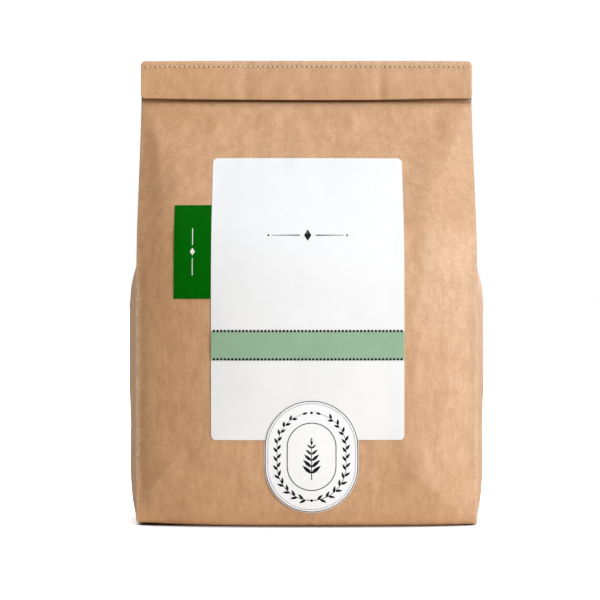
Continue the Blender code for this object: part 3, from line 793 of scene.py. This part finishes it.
# %% Kraft finish
def kraft_finish():
    finish, tree, shader = new_finish("kraft_paper", KRAFT_MID, 0.52, specular=1.0)
    place = add(tree, "TexCoord").outputs["Object"]
    # Each noise: how far it is drawn out upright, its fineness, its detail, its roughness and its warp
    streaks = paper_noise(tree, place, 0.13, 900.0, 4.0, 0.65)
    broad_streaks = paper_noise(tree, place, 0.34, 220.0, 4.0, 0.6, 0.4)
    clouds = paper_noise(tree, place, 0.75, 120.0, 6.0, 0.68, 0.4)
    mottle = paper_noise(tree, place, 0.7, 290.0, 4.0, 0.62, 0.5)
    grain = paper_noise(tree, place, 0.7, 1500.0, 3.0, 0.7)
    shade = add_up(
        tree, (streaks, 0.20), (broad_streaks, 0.42), (clouds, 0.13), (mottle, 0.23), (grain, 0.50),
    )
    tone = ranged(tree, shade, 0.565, 0.905, 0.0, 1.0)
    colour = mixed(tree, 0.45, mixed(tree, tone, KRAFT_DARK, KRAFT_LIGHT), KRAFT_MID)
    colour = mixed(tree, single_fibres(tree, place), colour, KRAFT_FIBRE)
    crease = handling_creases(tree, place)
    colour = mixed(tree, product(tree, crease, 0.05), colour, KRAFT_WEAR_AND_HIGHLIGHT)
    patchy = ranged(tree, paper_noise(tree, place, 1.0, 420.0, 3.0), 0.36, 0.62, 0.35, 1.0)
    # Rubbed wear and painted highlights, read from the mesh.
    colour = mixed(tree, product(tree, point_number(tree, "wear_and_highlight"), patchy), colour, KRAFT_WEAR_AND_HIGHLIGHT)
    # Painted shade read from the mesh: under the roll, beside the creases, along the lap and on the left.
    colour = mixed(tree, point_number(tree, "painted_shade"), colour, KRAFT_PAINTED_SHADE)
    # Painted shade: the colour is tinted by x position, fully on the left of the bag.
    sideways = add(tree, "SeparateXYZ", [("Vector", place)]).outputs["X"]
    painted_shade_side = ranged(tree, sideways, -0.075, -0.030, 1.0, 0.0)
    colour = mixed(tree, painted_shade_side, colour, KRAFT_PAINTED_BOUNCE_TINT, blend="MULTIPLY")
    relief = add_up(
        tree, (streaks, 0.18), (grain, 0.10), (broad_streaks, 0.8), (crease, 0.15), (clouds, 0.5),
        (mottle, 0.2),
    )
    rough = ranged(tree, tone, 0.0, 1.0, 0.62, 0.54)
    surface(tree, shader, colour, relief, strength=0.21, distance=0.00035, rough=rough)
    return finish


kraft_paper = kraft_finish()
for piece in (kraft_bag, folded_bottom):
    piece.data.materials.append(kraft_paper)
print("kraft nodes:", len(kraft_paper.node_tree.nodes))

# %% [markdown]
# ## The dried seaweed inside
# Dried bladderwrack is a mass of flat brown blades, darkest in the thick midribs, olive where the blade is
# thin, with paler air bladders and a dusting of salt. Nobody sees it while the bag is shut, but the solid
# keeps its place inside, so it gets a finish too: cells for blades and bladders, bands for ribs, and salt.

# %% Seaweed finish on the solid inside
WEED_DARK, WEED_OLIVE = (0.020, 0.015, 0.009), (0.085, 0.072, 0.034)
WEED_THIN, WEED_BLADDER = (0.110, 0.085, 0.040), (0.150, 0.110, 0.050)
SEA_SALT = (0.42, 0.40, 0.36)


def seaweed_finish():
    finish, tree, shader = new_finish("dried_seaweed", (0.060, 0.050, 0.028), 0.68, specular=0.35)
    place = add(tree, "TexCoord").outputs["Object"]
    lying = [("Vector", place), ("Rotation", (0.7, 0.3, 0.9)), ("Scale", (1.0, 0.35, 1.0))]
    twisted = add(tree, "Mapping", lying).outputs["Vector"]
    blades = add(tree, "TexVoronoi", [("Vector", twisted), ("Scale", 95.0)]).outputs["Distance"]
    bladders = add(tree, "TexVoronoi", [("Vector", place), ("Scale", 210.0)]).outputs["Distance"]
    ribs = add(tree, "TexWave", [("Vector", twisted), ("Scale", 60.0), ("Distortion", 9.0)]).outputs["Fac"]
    blotch = paper_noise(tree, place, 1.0, 60.0, 5.0, 0.6)
    salt = ranged(tree, paper_noise(tree, place, 1.0, 900.0, 3.0, 0.7), 0.60, 0.72, 0.0, 0.5)
    swollen = ranged(tree, bladders, 0.10, 0.28, 0.7, 0.0)
    colour = mixed(tree, ranged(tree, blotch, 0.35, 0.65, 0.0, 1.0), WEED_DARK, WEED_OLIVE)
    colour = mixed(tree, ranged(tree, blades, 0.15, 0.70, 0.0, 0.6), colour, WEED_THIN)
    colour = mixed(tree, swollen, colour, WEED_BLADDER)
    colour = mixed(tree, salt, colour, SEA_SALT)
    relief = add_up(tree, (blades, 0.9), (ribs, 0.5), (swollen, 0.6), (salt, 0.2))
    rough = ranged(tree, blotch, 0.3, 0.7, 0.55, 0.80)
    surface(tree, shader, colour, relief, strength=0.8, distance=0.0012, rough=rough)
    return finish


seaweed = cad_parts["dried_bladderwrack"]
dried_seaweed = seaweed_finish()
for held in seaweed.material_slots:
    held.material = dried_seaweed
print("seaweed slots:", [held.material.name for held in seaweed.material_slots])

# %% [markdown]
# ## Labels stuck on the front
# A label is a thin sheet that lies on the paper and takes its bulges and folds. A flat plate would float off
# the middle and cut into the corners. So each one is a grid, shaped in the flat, laid on the panel through
# the same function as the paper, and given a cut edge of its own.

# %% Lay a sheet on the panel
LABEL_CORNER = 0.0025
STICKER = 0.00016
STRIP = 0.00006
LABEL_LIFT = 0.00012
SECOND_LIFT = 0.00040


def sheet_grid(centre, size, corner, pitch=0.0016):
    """A grid in the flat with rounded corners: rows crowd where the outline turns."""
    half_width, half_height = size[0] / 2, size[1] / 2
    turn = np.sin(np.linspace(0, math.pi / 2, 9 if corner < 0.01 else 22))
    inner_height = half_height - corner
    rows_up = np.linspace(0, inner_height, max(2, round(inner_height / pitch)) + 1)
    rows_up = np.concatenate([rows_up, inner_height + corner * turn[1:]])
    rows = np.concatenate([-rows_up[:0:-1], rows_up])
    into = np.clip(np.abs(rows) - inner_height, 0, corner)
    reach = half_width - corner + np.sqrt(np.maximum(corner ** 2 - into ** 2, (corner * 0.02) ** 2))
    columns = np.linspace(-1, 1, round(2 * half_width / pitch) + 1)
    x = centre[0] + columns[None, :] * reach[:, None]
    z = centre[1] + np.repeat(rows[:, None], len(columns), axis=1)
    return x, z


def lay_sheet(name, grid, lift, finish, rim_finish, thickness=STICKER):
    """The grid as a thin sheet on the front panel, its face and its cut edge in two finishes."""
    x, z = grid
    under_y = panel_y(x, z) - lift
    over = np.stack([x, under_y - thickness, z], axis=-1).reshape(-1, 3)
    under = np.stack([x, under_y, z], axis=-1).reshape(-1, 3)
    index = np.arange(x.size).reshape(x.shape)
    border = np.concatenate([index[0, :-1], index[:-1, -1], index[-1, :0:-1], index[:0:-1, 0]])
    count, edge = len(over), len(border)
    points = np.concatenate([over, under, over[border], under[border]])
    quads = grid_quads(*x.shape)
    rim = ring_faces(2, edge)[:, [0, 3, 2, 1]] + 2 * count
    sheet = make_mesh(name, points, np.concatenate([quads, quads[:, ::-1] + count, rim]).tolist())
    sheet.data.materials.append(finish)
    sheet.data.materials.append(rim_finish)
    for face in list(sheet.data.polygons)[-edge:]:
        face.material_index = 1
    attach(sheet, "root")
    return sheet


print("sheet helper ready")

# %% [markdown]
# Label paper is coated with white clay and rolled smooth, so it shines a little and shows no fibres. One flat
# colour would look like plastic. A faint cloud and a fine tooth are enough, and every sticker and both inks
# share them, each in its own colour and shine.

# %% Finishes of the labels and their print
def even_finish(name, colour, roughness, specular=0.5, cloud=0.03):
    """Nearly even, with a faint cloud and a fine tooth: coated paper, its print, and the painted shade of
    needle holes.
    """
    finish, tree, shader = new_finish(name, colour, roughness, specular)
    place = add(tree, "TexCoord").outputs["Object"]
    clouds = paper_noise(tree, place, 0.6, 140.0, 4.0)
    tooth = paper_noise(tree, place, 1.0, 2600.0, 2.0)
    darker = tuple(c * (1 - cloud) for c in colour)
    clouded = mixed(tree, ranged(tree, clouds, 0.3, 0.7, 0.0, 1.0), darker, colour)
    rough = ranged(tree, tooth, 0.3, 0.7, roughness - 0.04, roughness + 0.04)
    relief = add_up(tree, (clouds, 0.8), (tooth, 0.25))
    surface(tree, shader, clouded, relief, strength=0.25, distance=0.00012, rough=rough)
    return finish


white_label_finish = even_finish("white_label", (0.847, 0.848, 0.840), 0.42, cloud=0.015)
seal_finish = even_finish("white_seal", (0.915, 0.918, 0.915), 0.40, cloud=0.015)
tab_finish = even_finish("green_paper", (0.0004, 0.118, 0.0010), 0.55, specular=0.03, cloud=0.10)
sage_finish = even_finish("sage_paper", (0.288, 0.449, 0.294), 0.48, specular=0.4, cloud=0.05)
cut_edge_finish = even_finish("cut_edge", (0.42, 0.41, 0.39), 0.7, specular=0.3, cloud=0.10)
ink_finish = even_finish("dark_ink", (0.010, 0.010, 0.012), 0.50, specular=0.15, cloud=0.20)
pale_ink_finish = even_finish("pale_ink", (0.80, 0.82, 0.76), 0.45, specular=0.4, cloud=0.08)

# %% Label, tab, band and seal
TAB_SIZE = (0.0194, 0.0490)
TAB_CENTRE = (LABEL_CENTRE[0] - LABEL_SIZE[0] / 2 - 0.0001 - TAB_SIZE[0] / 2, 0.1425)
STRIP_SIZE = (LABEL_SIZE[0] - 0.0002, 0.0152)
STRIP_CENTRE = (LABEL_CENTRE[0], 0.0938)
SEAL_SIZE = (0.0486, 0.0584)
SEAL_CENTRE = (0.0025, 0.0364)
LABEL_FOOT = LABEL_CENTRE[1] - LABEL_SIZE[1] / 2


def seal_lift(z):
    """The seal lies on the label above and on the paper below, and steps down between them."""
    return LABEL_LIFT + (SECOND_LIFT - LABEL_LIFT) * smooth_step(z, LABEL_FOOT - 0.0022, LABEL_FOOT - 0.0002)


front_label = lay_sheet("front_label_sheet", sheet_grid(LABEL_CENTRE, LABEL_SIZE, LABEL_CORNER), LABEL_LIFT,
                        white_label_finish, cut_edge_finish)
green_tab = lay_sheet("green_tab_sheet", sheet_grid(TAB_CENTRE, TAB_SIZE, 0.0003), LABEL_LIFT,
                      tab_finish, tab_finish)
sage_band = lay_sheet("sage_band_strip", sheet_grid(STRIP_CENTRE, STRIP_SIZE, 0.0002), SECOND_LIFT,
                      sage_finish, sage_finish, thickness=STRIP)
seal_x, seal_z = sheet_grid(SEAL_CENTRE, SEAL_SIZE, SEAL_SIZE[0] / 2 - 0.0001, pitch=0.0012)
seal_sticker = lay_sheet("seal_sheet", (seal_x, seal_z), seal_lift(seal_z), seal_finish, cut_edge_finish)
for piece, node, slot in (
    (front_label, "front_label", "white_label"), (green_tab, "green_tab", "green_paper"),
    (sage_band, "sage_band", "sage_paper"), (seal_sticker, "seal_sticker", "white_seal"),
):
    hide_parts(node)
    print(piece.name, len(piece.data.polygons), "faces")

# %% [markdown]
# ## Print
# Ink is almost nothing in height, but its edge has to stay sharp close up. So the dots, rules and leaves are
# cut as flat shapes and laid a hair above the label, on the same bulge. The leaves come from one drawn leaf,
# turned and scaled along a curved stalk.

# %% Flat shapes for print
class InkDrawing:
    """Flat shapes gathered in label space, laid on the panel as one piece."""

    def __init__(self):
        self.points, self.faces = [], []

    def shape(self, outline):
        """A convex outline as a fan."""
        first = len(self.points)
        self.points.extend(outline)
        self.faces.append([first + k for k in range(len(outline))])

    def dot(self, x, z, radius, sides=14):
        turns = [2 * math.pi * k / sides for k in range(sides)]
        self.shape([(x + radius * math.cos(t), z + radius * math.sin(t)) for t in turns])

    def diamond(self, x, z, half_width, half_height):
        self.shape([(x - half_width, z), (x, z - half_height), (x + half_width, z), (x, z + half_height)])

    def stroke(self, path, width, closed=False):
        """A line of even width through the points of a path."""
        path = np.array(path)
        ahead = np.roll(path, -1, axis=0) - np.roll(path, 1, axis=0)
        if not closed:
            ahead[0], ahead[-1] = path[1] - path[0], path[-1] - path[-2]
        ahead /= np.linalg.norm(ahead, axis=1)[:, None]
        half = width / 2 if np.isscalar(width) else width[:, None] / 2
        aside = np.stack([-ahead[:, 1], ahead[:, 0]], axis=1) * half
        first, count = len(self.points), len(path)
        self.points.extend((path - aside).tolist() + (path + aside).tolist())
        for k in range(count if closed else count - 1):
            after = (k + 1) % count
            self.faces.append([first + k, first + after, first + count + after, first + count + k])

    def leaf(self, x, z, angle, length, width):
        """A pointed leaf growing from x, z towards angle."""
        along = np.linspace(0, 1, 7)
        half = width / 2 * np.sin(math.pi * along ** 0.8)
        over = [(a * length, h) for a, h in zip(along, half)]
        under = [(u, -v) for u, v in over[-2:0:-1]]
        c, s = math.cos(angle), math.sin(angle)
        self.shape([(x + u * c - v * s, z + u * s + v * c) for u, v in over + under])

    def lay(self, name, lift, finish):
        """The drawing as one piece, a lift above the panel that may be a function of z."""
        flat = np.array(self.points)
        over = lift(flat[:, 1]) if callable(lift) else lift
        deep = panel_y(flat[:, 0], flat[:, 1]) - over
        piece = make_mesh(name, np.column_stack([flat[:, 0], deep, flat[:, 1]]), self.faces)
        piece.data.materials.append(finish)
        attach(piece, "root")
        print(name, len(self.faces), "shapes")
        return piece


INK = 0.00004
label_face = LABEL_LIFT + STICKER
strip_face = SECOND_LIFT + STRIP
print("ink stands", round((label_face + INK) * 1000, 2), "mm off the paper of the bag")

# %% Dotted rows along the sage band
DOT_PITCH = 0.00190
DOT_RADIUS = 0.00068
dotted = InkDrawing()
for edge_z in (STRIP_CENTRE[1] + STRIP_SIZE[1] / 2, STRIP_CENTRE[1] - STRIP_SIZE[1] / 2 + 0.0006):
    count = int(STRIP_SIZE[0] / DOT_PITCH)
    for k in range(count):
        dotted.dot(STRIP_CENTRE[0] + (k - (count - 1) / 2) * DOT_PITCH, edge_z, DOT_RADIUS)
dotted_rows = dotted.lay("dotted_rows", strip_face + INK, ink_finish)

# %% A plain printer's ornament where a title would stand
ornament = InkDrawing()
title_z, title_x = 0.1510, LABEL_CENTRE[0]
for side in (-1, 1):
    ornament.stroke([(title_x + side * (0.0042 + 0.0145 * t), title_z) for t in np.linspace(0, 1, 16)],
                    np.linspace(0.00060, 0.00022, 16))
    ornament.dot(title_x + side * 0.0204, title_z, 0.00052)
ornament.diamond(title_x, title_z, 0.0019, 0.0030)
title_ornament = ornament.lay("title_ornament", label_face + INK, ink_finish)

tab_mark = InkDrawing()
tab_x, tab_z = TAB_CENTRE
for side in (-1, 1):
    tab_mark.stroke([(tab_x, tab_z + side * (0.0034 + 0.0088 * t)) for t in np.linspace(0, 1, 8)], 0.00042)
tab_mark.diamond(tab_x, tab_z, 0.0013, 0.0020)
tab_ornament = tab_mark.lay("tab_ornament", label_face + INK, pale_ink_finish)

# %% Border, dashes and inner ring of the seal
BORDER_INSET, BORDER_WIDTH = 0.00045, 0.00040
DASH_INSET, DASH_WIDTH = 0.00165, 0.00036
RING_INSET, RING_WIDTH = 0.01170, 0.00046


def seal_outline(inset, count=160):
    """Points round the seal's outline, drawn in by inset."""
    radius = SEAL_SIZE[0] / 2 - inset
    rise = SEAL_SIZE[1] / 2 - SEAL_SIZE[0] / 2
    length = 2 * math.pi * radius + 4 * rise
    path = []
    for k in range(count):
        s = length * k / count
        if s < 2 * rise:
            path.append((radius, s - rise))
        elif s < 2 * rise + math.pi * radius:
            t = (s - 2 * rise) / radius
            path.append((radius * math.cos(t), rise + radius * math.sin(t)))
        elif s < 4 * rise + math.pi * radius:
            path.append((-radius, rise - (s - 2 * rise - math.pi * radius)))
        else:
            t = math.pi + (s - 4 * rise - math.pi * radius) / radius
            path.append((radius * math.cos(t), -rise + radius * math.sin(t)))
    return np.array(path) + SEAL_CENTRE


def seal_face(z):
    return seal_lift(z) + STICKER + INK


seal_lines = InkDrawing()
seal_lines.stroke(seal_outline(BORDER_INSET), BORDER_WIDTH, closed=True)
dashes = seal_outline(DASH_INSET, 540)
for k in range(0, len(dashes), 4):
    seal_lines.stroke([dashes[(k + step) % len(dashes)] for step in range(3)], DASH_WIDTH)
seal_lines.stroke(seal_outline(RING_INSET, 120), RING_WIDTH, closed=True)
seal_border = seal_lines.lay("seal_border", seal_face, ink_finish)

# %% [markdown]
# The seal holds a plain plant drawing and no name, so the bag can stand on any shelf. Such a wreath is
# usually drawn by hand. Here one stalk follows the seal's own outline and is mirrored, and its leaves grow in
# pairs that get smaller towards the tip, so the wreath still fits when the seal changes size.

# %% A wreath of two sprigs, and a twig in the middle
WREATH_INSET = 0.00650
LEAF_WIDTH, LEAF_LEAN = 0.00135, 0.62
TWIG_LEAN = 0.85
TWIG_LEAVES = ((2, 0.0064), (4, 0.0060), (6, 0.0052), (8, 0.0042), (10, 0.0032))  # step up the twig, length


def heading(start, end):
    return math.atan2(*(end - start)[::-1])


sprigs = InkDrawing()
around = seal_outline(WREATH_INSET, 200)
right_side = np.concatenate([around[156:], around[:51]])
for side in (-1, 1):
    stalk = [SEAL_CENTRE + (p - SEAL_CENTRE) * [side, 1] for p in right_side]
    sprigs.stroke(stalk, np.linspace(0.00034, 0.00016, len(stalk)))
    for k in range(6, len(stalk) - 5, 7):
        ahead = heading(stalk[k], stalk[k + 1])
        size = 0.0040 - 0.0000115 * k
        sprigs.leaf(*stalk[k], ahead + LEAF_LEAN, size, LEAF_WIDTH)
        sprigs.leaf(*stalk[k + 2], ahead - LEAF_LEAN, size, LEAF_WIDTH)
    sprigs.leaf(*stalk[-1], heading(stalk[-2], stalk[-1]), 0.0030, 0.0012)
for end in (-1, 1):
    sprigs.dot(SEAL_CENTRE[0], SEAL_CENTRE[1] + end * 0.0228, 0.00070)
twig = [(SEAL_CENTRE[0], SEAL_CENTRE[1] + rise) for rise in np.linspace(-0.0120, 0.0060, 12)]
sprigs.stroke(twig, np.linspace(0.00050, 0.00026, len(twig)))
for k, size in TWIG_LEAVES:
    for side in (-1, 1):
        sprigs.leaf(*twig[k], math.pi / 2 - TWIG_LEAN * side, size, 0.30 * size)
sprigs.leaf(*twig[-1], math.pi / 2, 0.0042, 0.0013)
seal_sprigs = sprigs.lay("seal_sprigs", seal_face, ink_finish)

# %% [markdown]
# ## The seam
# A bag closer sews the roll with a cotton thread, just under ten stitches to the inch in a straight line.
# Each stitch rises out of one needle hole, lies on the paper and dives into the next. A dashed line on a
# texture would vanish at the side, so every stitch is a small tube and every hole a small disc of painted
# shade.

# %% Thread and needle holes
STITCH_COUNT = 66
SEAM_HALF_LENGTH = 0.0868
STITCH_GAP = 0.00064
THREAD_RADIUS = 0.00031
THREAD_SIDES, STITCH_STEPS = 8, 9
HOLE_SIDES = 12
HOLE_RINGS = ((0.00036, 0.00004), (0.00022, 0.00003))


def face_of_roll(x, facing):
    """y of the paper under the seam at x, on the front (-1) or the back (1)."""
    x = np.array([x])
    bow = roll_bow(x, STITCH_Z)
    if facing > 0:
        return float((NECK_HALF - bow)[0])
    forward, _ = band_wave(x, np.full_like(x, STITCH_Z))
    return float((BAND_FACE_Y - forward - bow)[0])


def stitch(left, right, facing, rng):
    """Points of one stitch, ring by ring: it rises out of a hole, lies on the paper and dives again."""
    tilt = rng.uniform(-0.00010, 0.00010)
    thick = THREAD_RADIUS * rng.uniform(0.92, 1.08)
    points = []
    for step in range(STITCH_STEPS):
        u = step / (STITCH_STEPS - 1)
        x = left + (right - left) * u
        arch = math.sin(math.pi * u) ** 0.55
        centre_y = face_of_roll(x, facing) + facing * (arch * 0.00042 - 0.00025)
        centre_z = STITCH_Z + tilt * (2 * u - 1)
        girth = thick * (0.62 + 0.38 * arch)
        for side in range(THREAD_SIDES):
            turn = 2 * math.pi * side / THREAD_SIDES
            y = centre_y + girth * 0.75 * math.cos(turn)
            points.append((x, y, centre_z + girth * 1.1 * math.sin(turn)))
    return points


def hole(x, facing):
    """Points of one needle hole: a rim and a smaller ring inside it, both just proud of the paper, to carry
    the hole's painted shade.
    """
    points = []
    for radius, proud in HOLE_RINGS:
        for side in range(HOLE_SIDES):
            turn = 2 * math.pi * side / HOLE_SIDES
            u = x + radius * math.cos(turn)
            y = face_of_roll(u, facing) + facing * proud
            points.append((u, y, STITCH_Z + radius * 1.1 * math.sin(turn)))
    return points


print("a stitch and its gap take", round(2 * SEAM_HALF_LENGTH / STITCH_COUNT * 1000, 2), "mm")

# %% The seam on both faces
def seam(name, facing, node):
    """All stitches on one face as one mesh, and their holes as another."""
    rng = random.Random(5 + facing)
    pitch = 2 * SEAM_HALF_LENGTH / STITCH_COUNT
    points, faces, hole_points, hole_faces = [], [], [], []
    for k in range(STITCH_COUNT):
        left = -SEAM_HALF_LENGTH + k * pitch + STITCH_GAP / 2
        first = len(points)
        points += stitch(left, left + pitch - STITCH_GAP, facing, rng)
        faces += (ring_faces(STITCH_STEPS, THREAD_SIDES) + first).tolist()
        faces.append([first + side for side in range(THREAD_SIDES)])
        faces.append([len(points) - 1 - side for side in range(THREAD_SIDES)])
    for k in range(STITCH_COUNT + 1):
        first = len(hole_points)
        hole_points += hole(-SEAM_HALF_LENGTH + k * pitch, facing)
        hole_faces.append([first + HOLE_SIDES + side for side in range(HOLE_SIDES)])
        hole_faces += (ring_faces(2, HOLE_SIDES) + first).tolist()
    thread = make_mesh(name, points, faces)
    holes = make_mesh(name + "_holes", hole_points, hole_faces)
    for piece in (thread, holes):
        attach(piece, "root")
    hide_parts(node)
    print(name, len(faces), "faces,", STITCH_COUNT, "stitches")
    return thread, holes


front_thread, front_holes = seam("front_stitches", -1, "stitch_thread_front")
back_thread, back_holes = seam("back_stitches", 1, "stitch_thread_back")

# %% [markdown]
# The thread is twisted from undyed cotton. Its strands could be modelled one by one, but on a thread half a
# millimetre thick a slanting band with a little fuzz gives the same look for a small part of the faces.

# %% Finish of the thread
THREAD_DARK, THREAD_LIGHT = (0.48, 0.38, 0.26), (0.84, 0.75, 0.59)


def thread_finish():
    finish, tree, shader = new_finish("cream_thread", (0.80, 0.70, 0.52), 0.85, specular=0.3)
    place = add(tree, "TexCoord").outputs["Object"]
    lean = add(tree, "Mapping", [("Vector", place), ("Rotation", (0.0, 0.7, 0.0))]).outputs["Vector"]
    twist = add(tree, "TexWave", [("Vector", lean), ("Scale", 900.0), ("Distortion", 1.2)]).outputs["Fac"]
    fuzz = paper_noise(tree, place, 1.0, 5000.0, 2.0)
    shade = add_up(tree, (twist, 0.6), (fuzz, 0.4))
    surface(tree, shader, mixed(tree, shade, THREAD_DARK, THREAD_LIGHT), shade, strength=0.6, distance=0.00012)
    return finish


cream_thread = thread_finish()
# Painted shade: each needle hole is a dark disc standing for the shade inside the hole.
painted_hole_shade = even_finish("painted_hole_shade", (0.150, 0.084, 0.042), 0.9, specular=0.1, cloud=0.3)
for thread, holes in ((front_thread, front_holes), (back_thread, back_holes)):
    thread.data.materials.append(cream_thread)
    holes.data.materials.append(painted_hole_shade)
print("thread nodes:", len(cream_thread.node_tree.nodes))

# %% [markdown]
# ## Floor, light and camera
# Paper shows its folds in one soft light from the side. The key is a wide sun from the right, because a sun
# lights a tall bag evenly from top to bottom. A weak light from above lifts the sloping shoulder, three more
# suns reach the left side and the back, and the white floor gives the rest back. A lamp close by would be
# brighter at the top of the bag than at its foot.

# %% Lamps
def sun(name, azimuth, elevation, strength, spread, colour=(1.0, 1.0, 1.0)):
    """A sun lamp: azimuth in degrees to the right of the front, elevation above the floor."""
    lamp = bpy.data.lights.new(name, "SUN")
    lamp.energy = strength
    lamp.angle = math.radians(spread)
    lamp.color = colour
    holder = bpy.data.objects.new(name, lamp)
    bpy.context.scene.collection.objects.link(holder)
    a, e = math.radians(azimuth), math.radians(elevation)
    towards = Vector((math.sin(a) * math.cos(e), -math.cos(a) * math.cos(e), math.sin(e)))
    holder.rotation_euler = towards.to_track_quat("Z", "Y").to_euler()
    return holder


key_light = sun("key_light", 47, 18, 2.80, 32, (0.975, 1.0, 1.050))
top_light = sun("top_light", 10, 80, 1.05, 60, (0.985, 1.0, 1.05))
back_light = sun("back_light", 168, 22, 1.5, 26)
side_light = sun("side_light", -122, 12, 0.60, 30)
rim_light = sun("rim_light", 158, 7, 0.40, 20, (0.95, 1.0, 1.15))

print("lights:", key_light.name, top_light.name, back_light.name, side_light.name, rim_light.name)

# %% Floor
FLOOR_REACH = 40.0
FLOOR_WHITE = (0.86, 0.86, 0.86)
# Colour of the painted contact shadow round the bag's foot.
FLOOR_SHADE = (0.10, 0.08, 0.065)
FLOOR_GLOW = 0.85
TOUCH_REACH = 0.014
FRONT_REACH = 0.045
BOUNCE, GLOSS_BOUNCE = (0.865, 0.800, 0.712), (0.50, 0.46, 0.405)


def outside_painted_floor_shadow(tree):
    """Painted contact shadow of the floor: 1 on the open floor and 0 close to the bag, from how much of its
    surroundings each point sees, weakened beside the bag's sides.
    """
    around = add(tree, "AmbientOcclusion", [("Distance", TOUCH_REACH)], samples=8).outputs["AO"]
    tilted = [("Distance", FRONT_REACH), ("Normal", (0.0, 0.94, 0.34))]
    in_front = add(tree, "AmbientOcclusion", tilted, samples=8).outputs["AO"]
    lit_around = ranged(tree, around, 0.30, 0.80, 0.0, 1.0)
    lit_in_front = ranged(tree, in_front, 0.36, 0.78, 0.0, 1.0)
    place = add(tree, "SeparateXYZ", [("Vector", add(tree, "TexCoord").outputs["Object"])]).outputs
    across = add(tree, "Math", [(0, place["X"])], operation="ABSOLUTE").outputs[0]
    along = add(tree, "Math", [(0, place["Y"])], operation="ABSOLUTE").outputs[0]
    # The painted shadow is weakened by position beside the bag's sides.
    past_side = ranged(tree, across, 0.0860, 0.0915, 0.0, 0.75)
    near_middle = ranged(tree, along, 0.044, 0.058, 1.0, 0.0)
    touched = product(tree, lit_around, lit_in_front)
    return mixed(tree, product(tree, past_side, near_middle), touched, (1.0, 1.0, 1.0))


corners = [(x * FLOOR_REACH, y * FLOOR_REACH, 0) for x, y in ((-1, -1), (1, -1), (1, 1), (-1, 1))]
floor = make_mesh("floor", corners, [[0, 1, 2, 3]], smooth=False)
floor_finish, floor_tree, floor_shader = new_finish("white_floor", FLOOR_WHITE, 0.9)
floor_shader.inputs["Emission Color"].default_value = (1.0, 0.995, 0.985, 1)
rays = add(floor_tree, "LightPath").outputs
out_of_painted_shadow = outside_painted_floor_shadow(floor_tree)
# The floor's glow is cut back by the painted contact shadow.
glow = product(floor_tree, product(floor_tree, out_of_painted_shadow, FLOOR_GLOW), rays["Is Camera Ray"])
floor_tree.links.new(glow, floor_shader.inputs["Emission Strength"])
shaded = mixed(floor_tree, out_of_painted_shadow, FLOOR_SHADE, FLOOR_WHITE)
bounced = mixed(floor_tree, rays["Is Glossy Ray"], BOUNCE, GLOSS_BOUNCE)
seen_or_bounced = mixed(floor_tree, rays["Is Camera Ray"], bounced, shaded)
floor_tree.links.new(seen_or_bounced, floor_shader.inputs["Base Color"])
floor.data.materials.append(floor_finish)
print("floor nodes:", len(floor_tree.nodes))

# %% Surroundings
SKY = 0.11
world = bpy.data.worlds.new("studio")
world.use_nodes = True
bpy.context.scene.world = world
studio_air = world.node_tree.nodes["Background"]
studio_air.inputs["Color"].default_value = (1.0, 1.0, 1.0, 1)
seen = add(world.node_tree, "LightPath").outputs["Is Camera Ray"]
level = add(world.node_tree, "MapRange", [("Value", seen), ("To Min", SKY), ("To Max", 1.0)])
world.node_tree.links.new(level.outputs["Result"], studio_air.inputs["Strength"])
print("the surroundings light the bag at", SKY, "and look white")

# %% Camera
bpy.context.scene.view_settings.view_transform = "Standard"
camera_data = bpy.data.cameras.new("camera")
camera_data.lens = 166.9
camera_data.sensor_width = 36.0
camera = bpy.data.objects.new("camera", camera_data)
camera.location = (-0.0035, -1.5, 0.1174)
camera.rotation_euler = (math.radians(90), 0.0, 0.0)
bpy.context.scene.collection.objects.link(camera)
bpy.context.scene.camera = camera
print("camera at", tuple(round(v, 4) for v in camera.location), "lens", camera_data.lens)
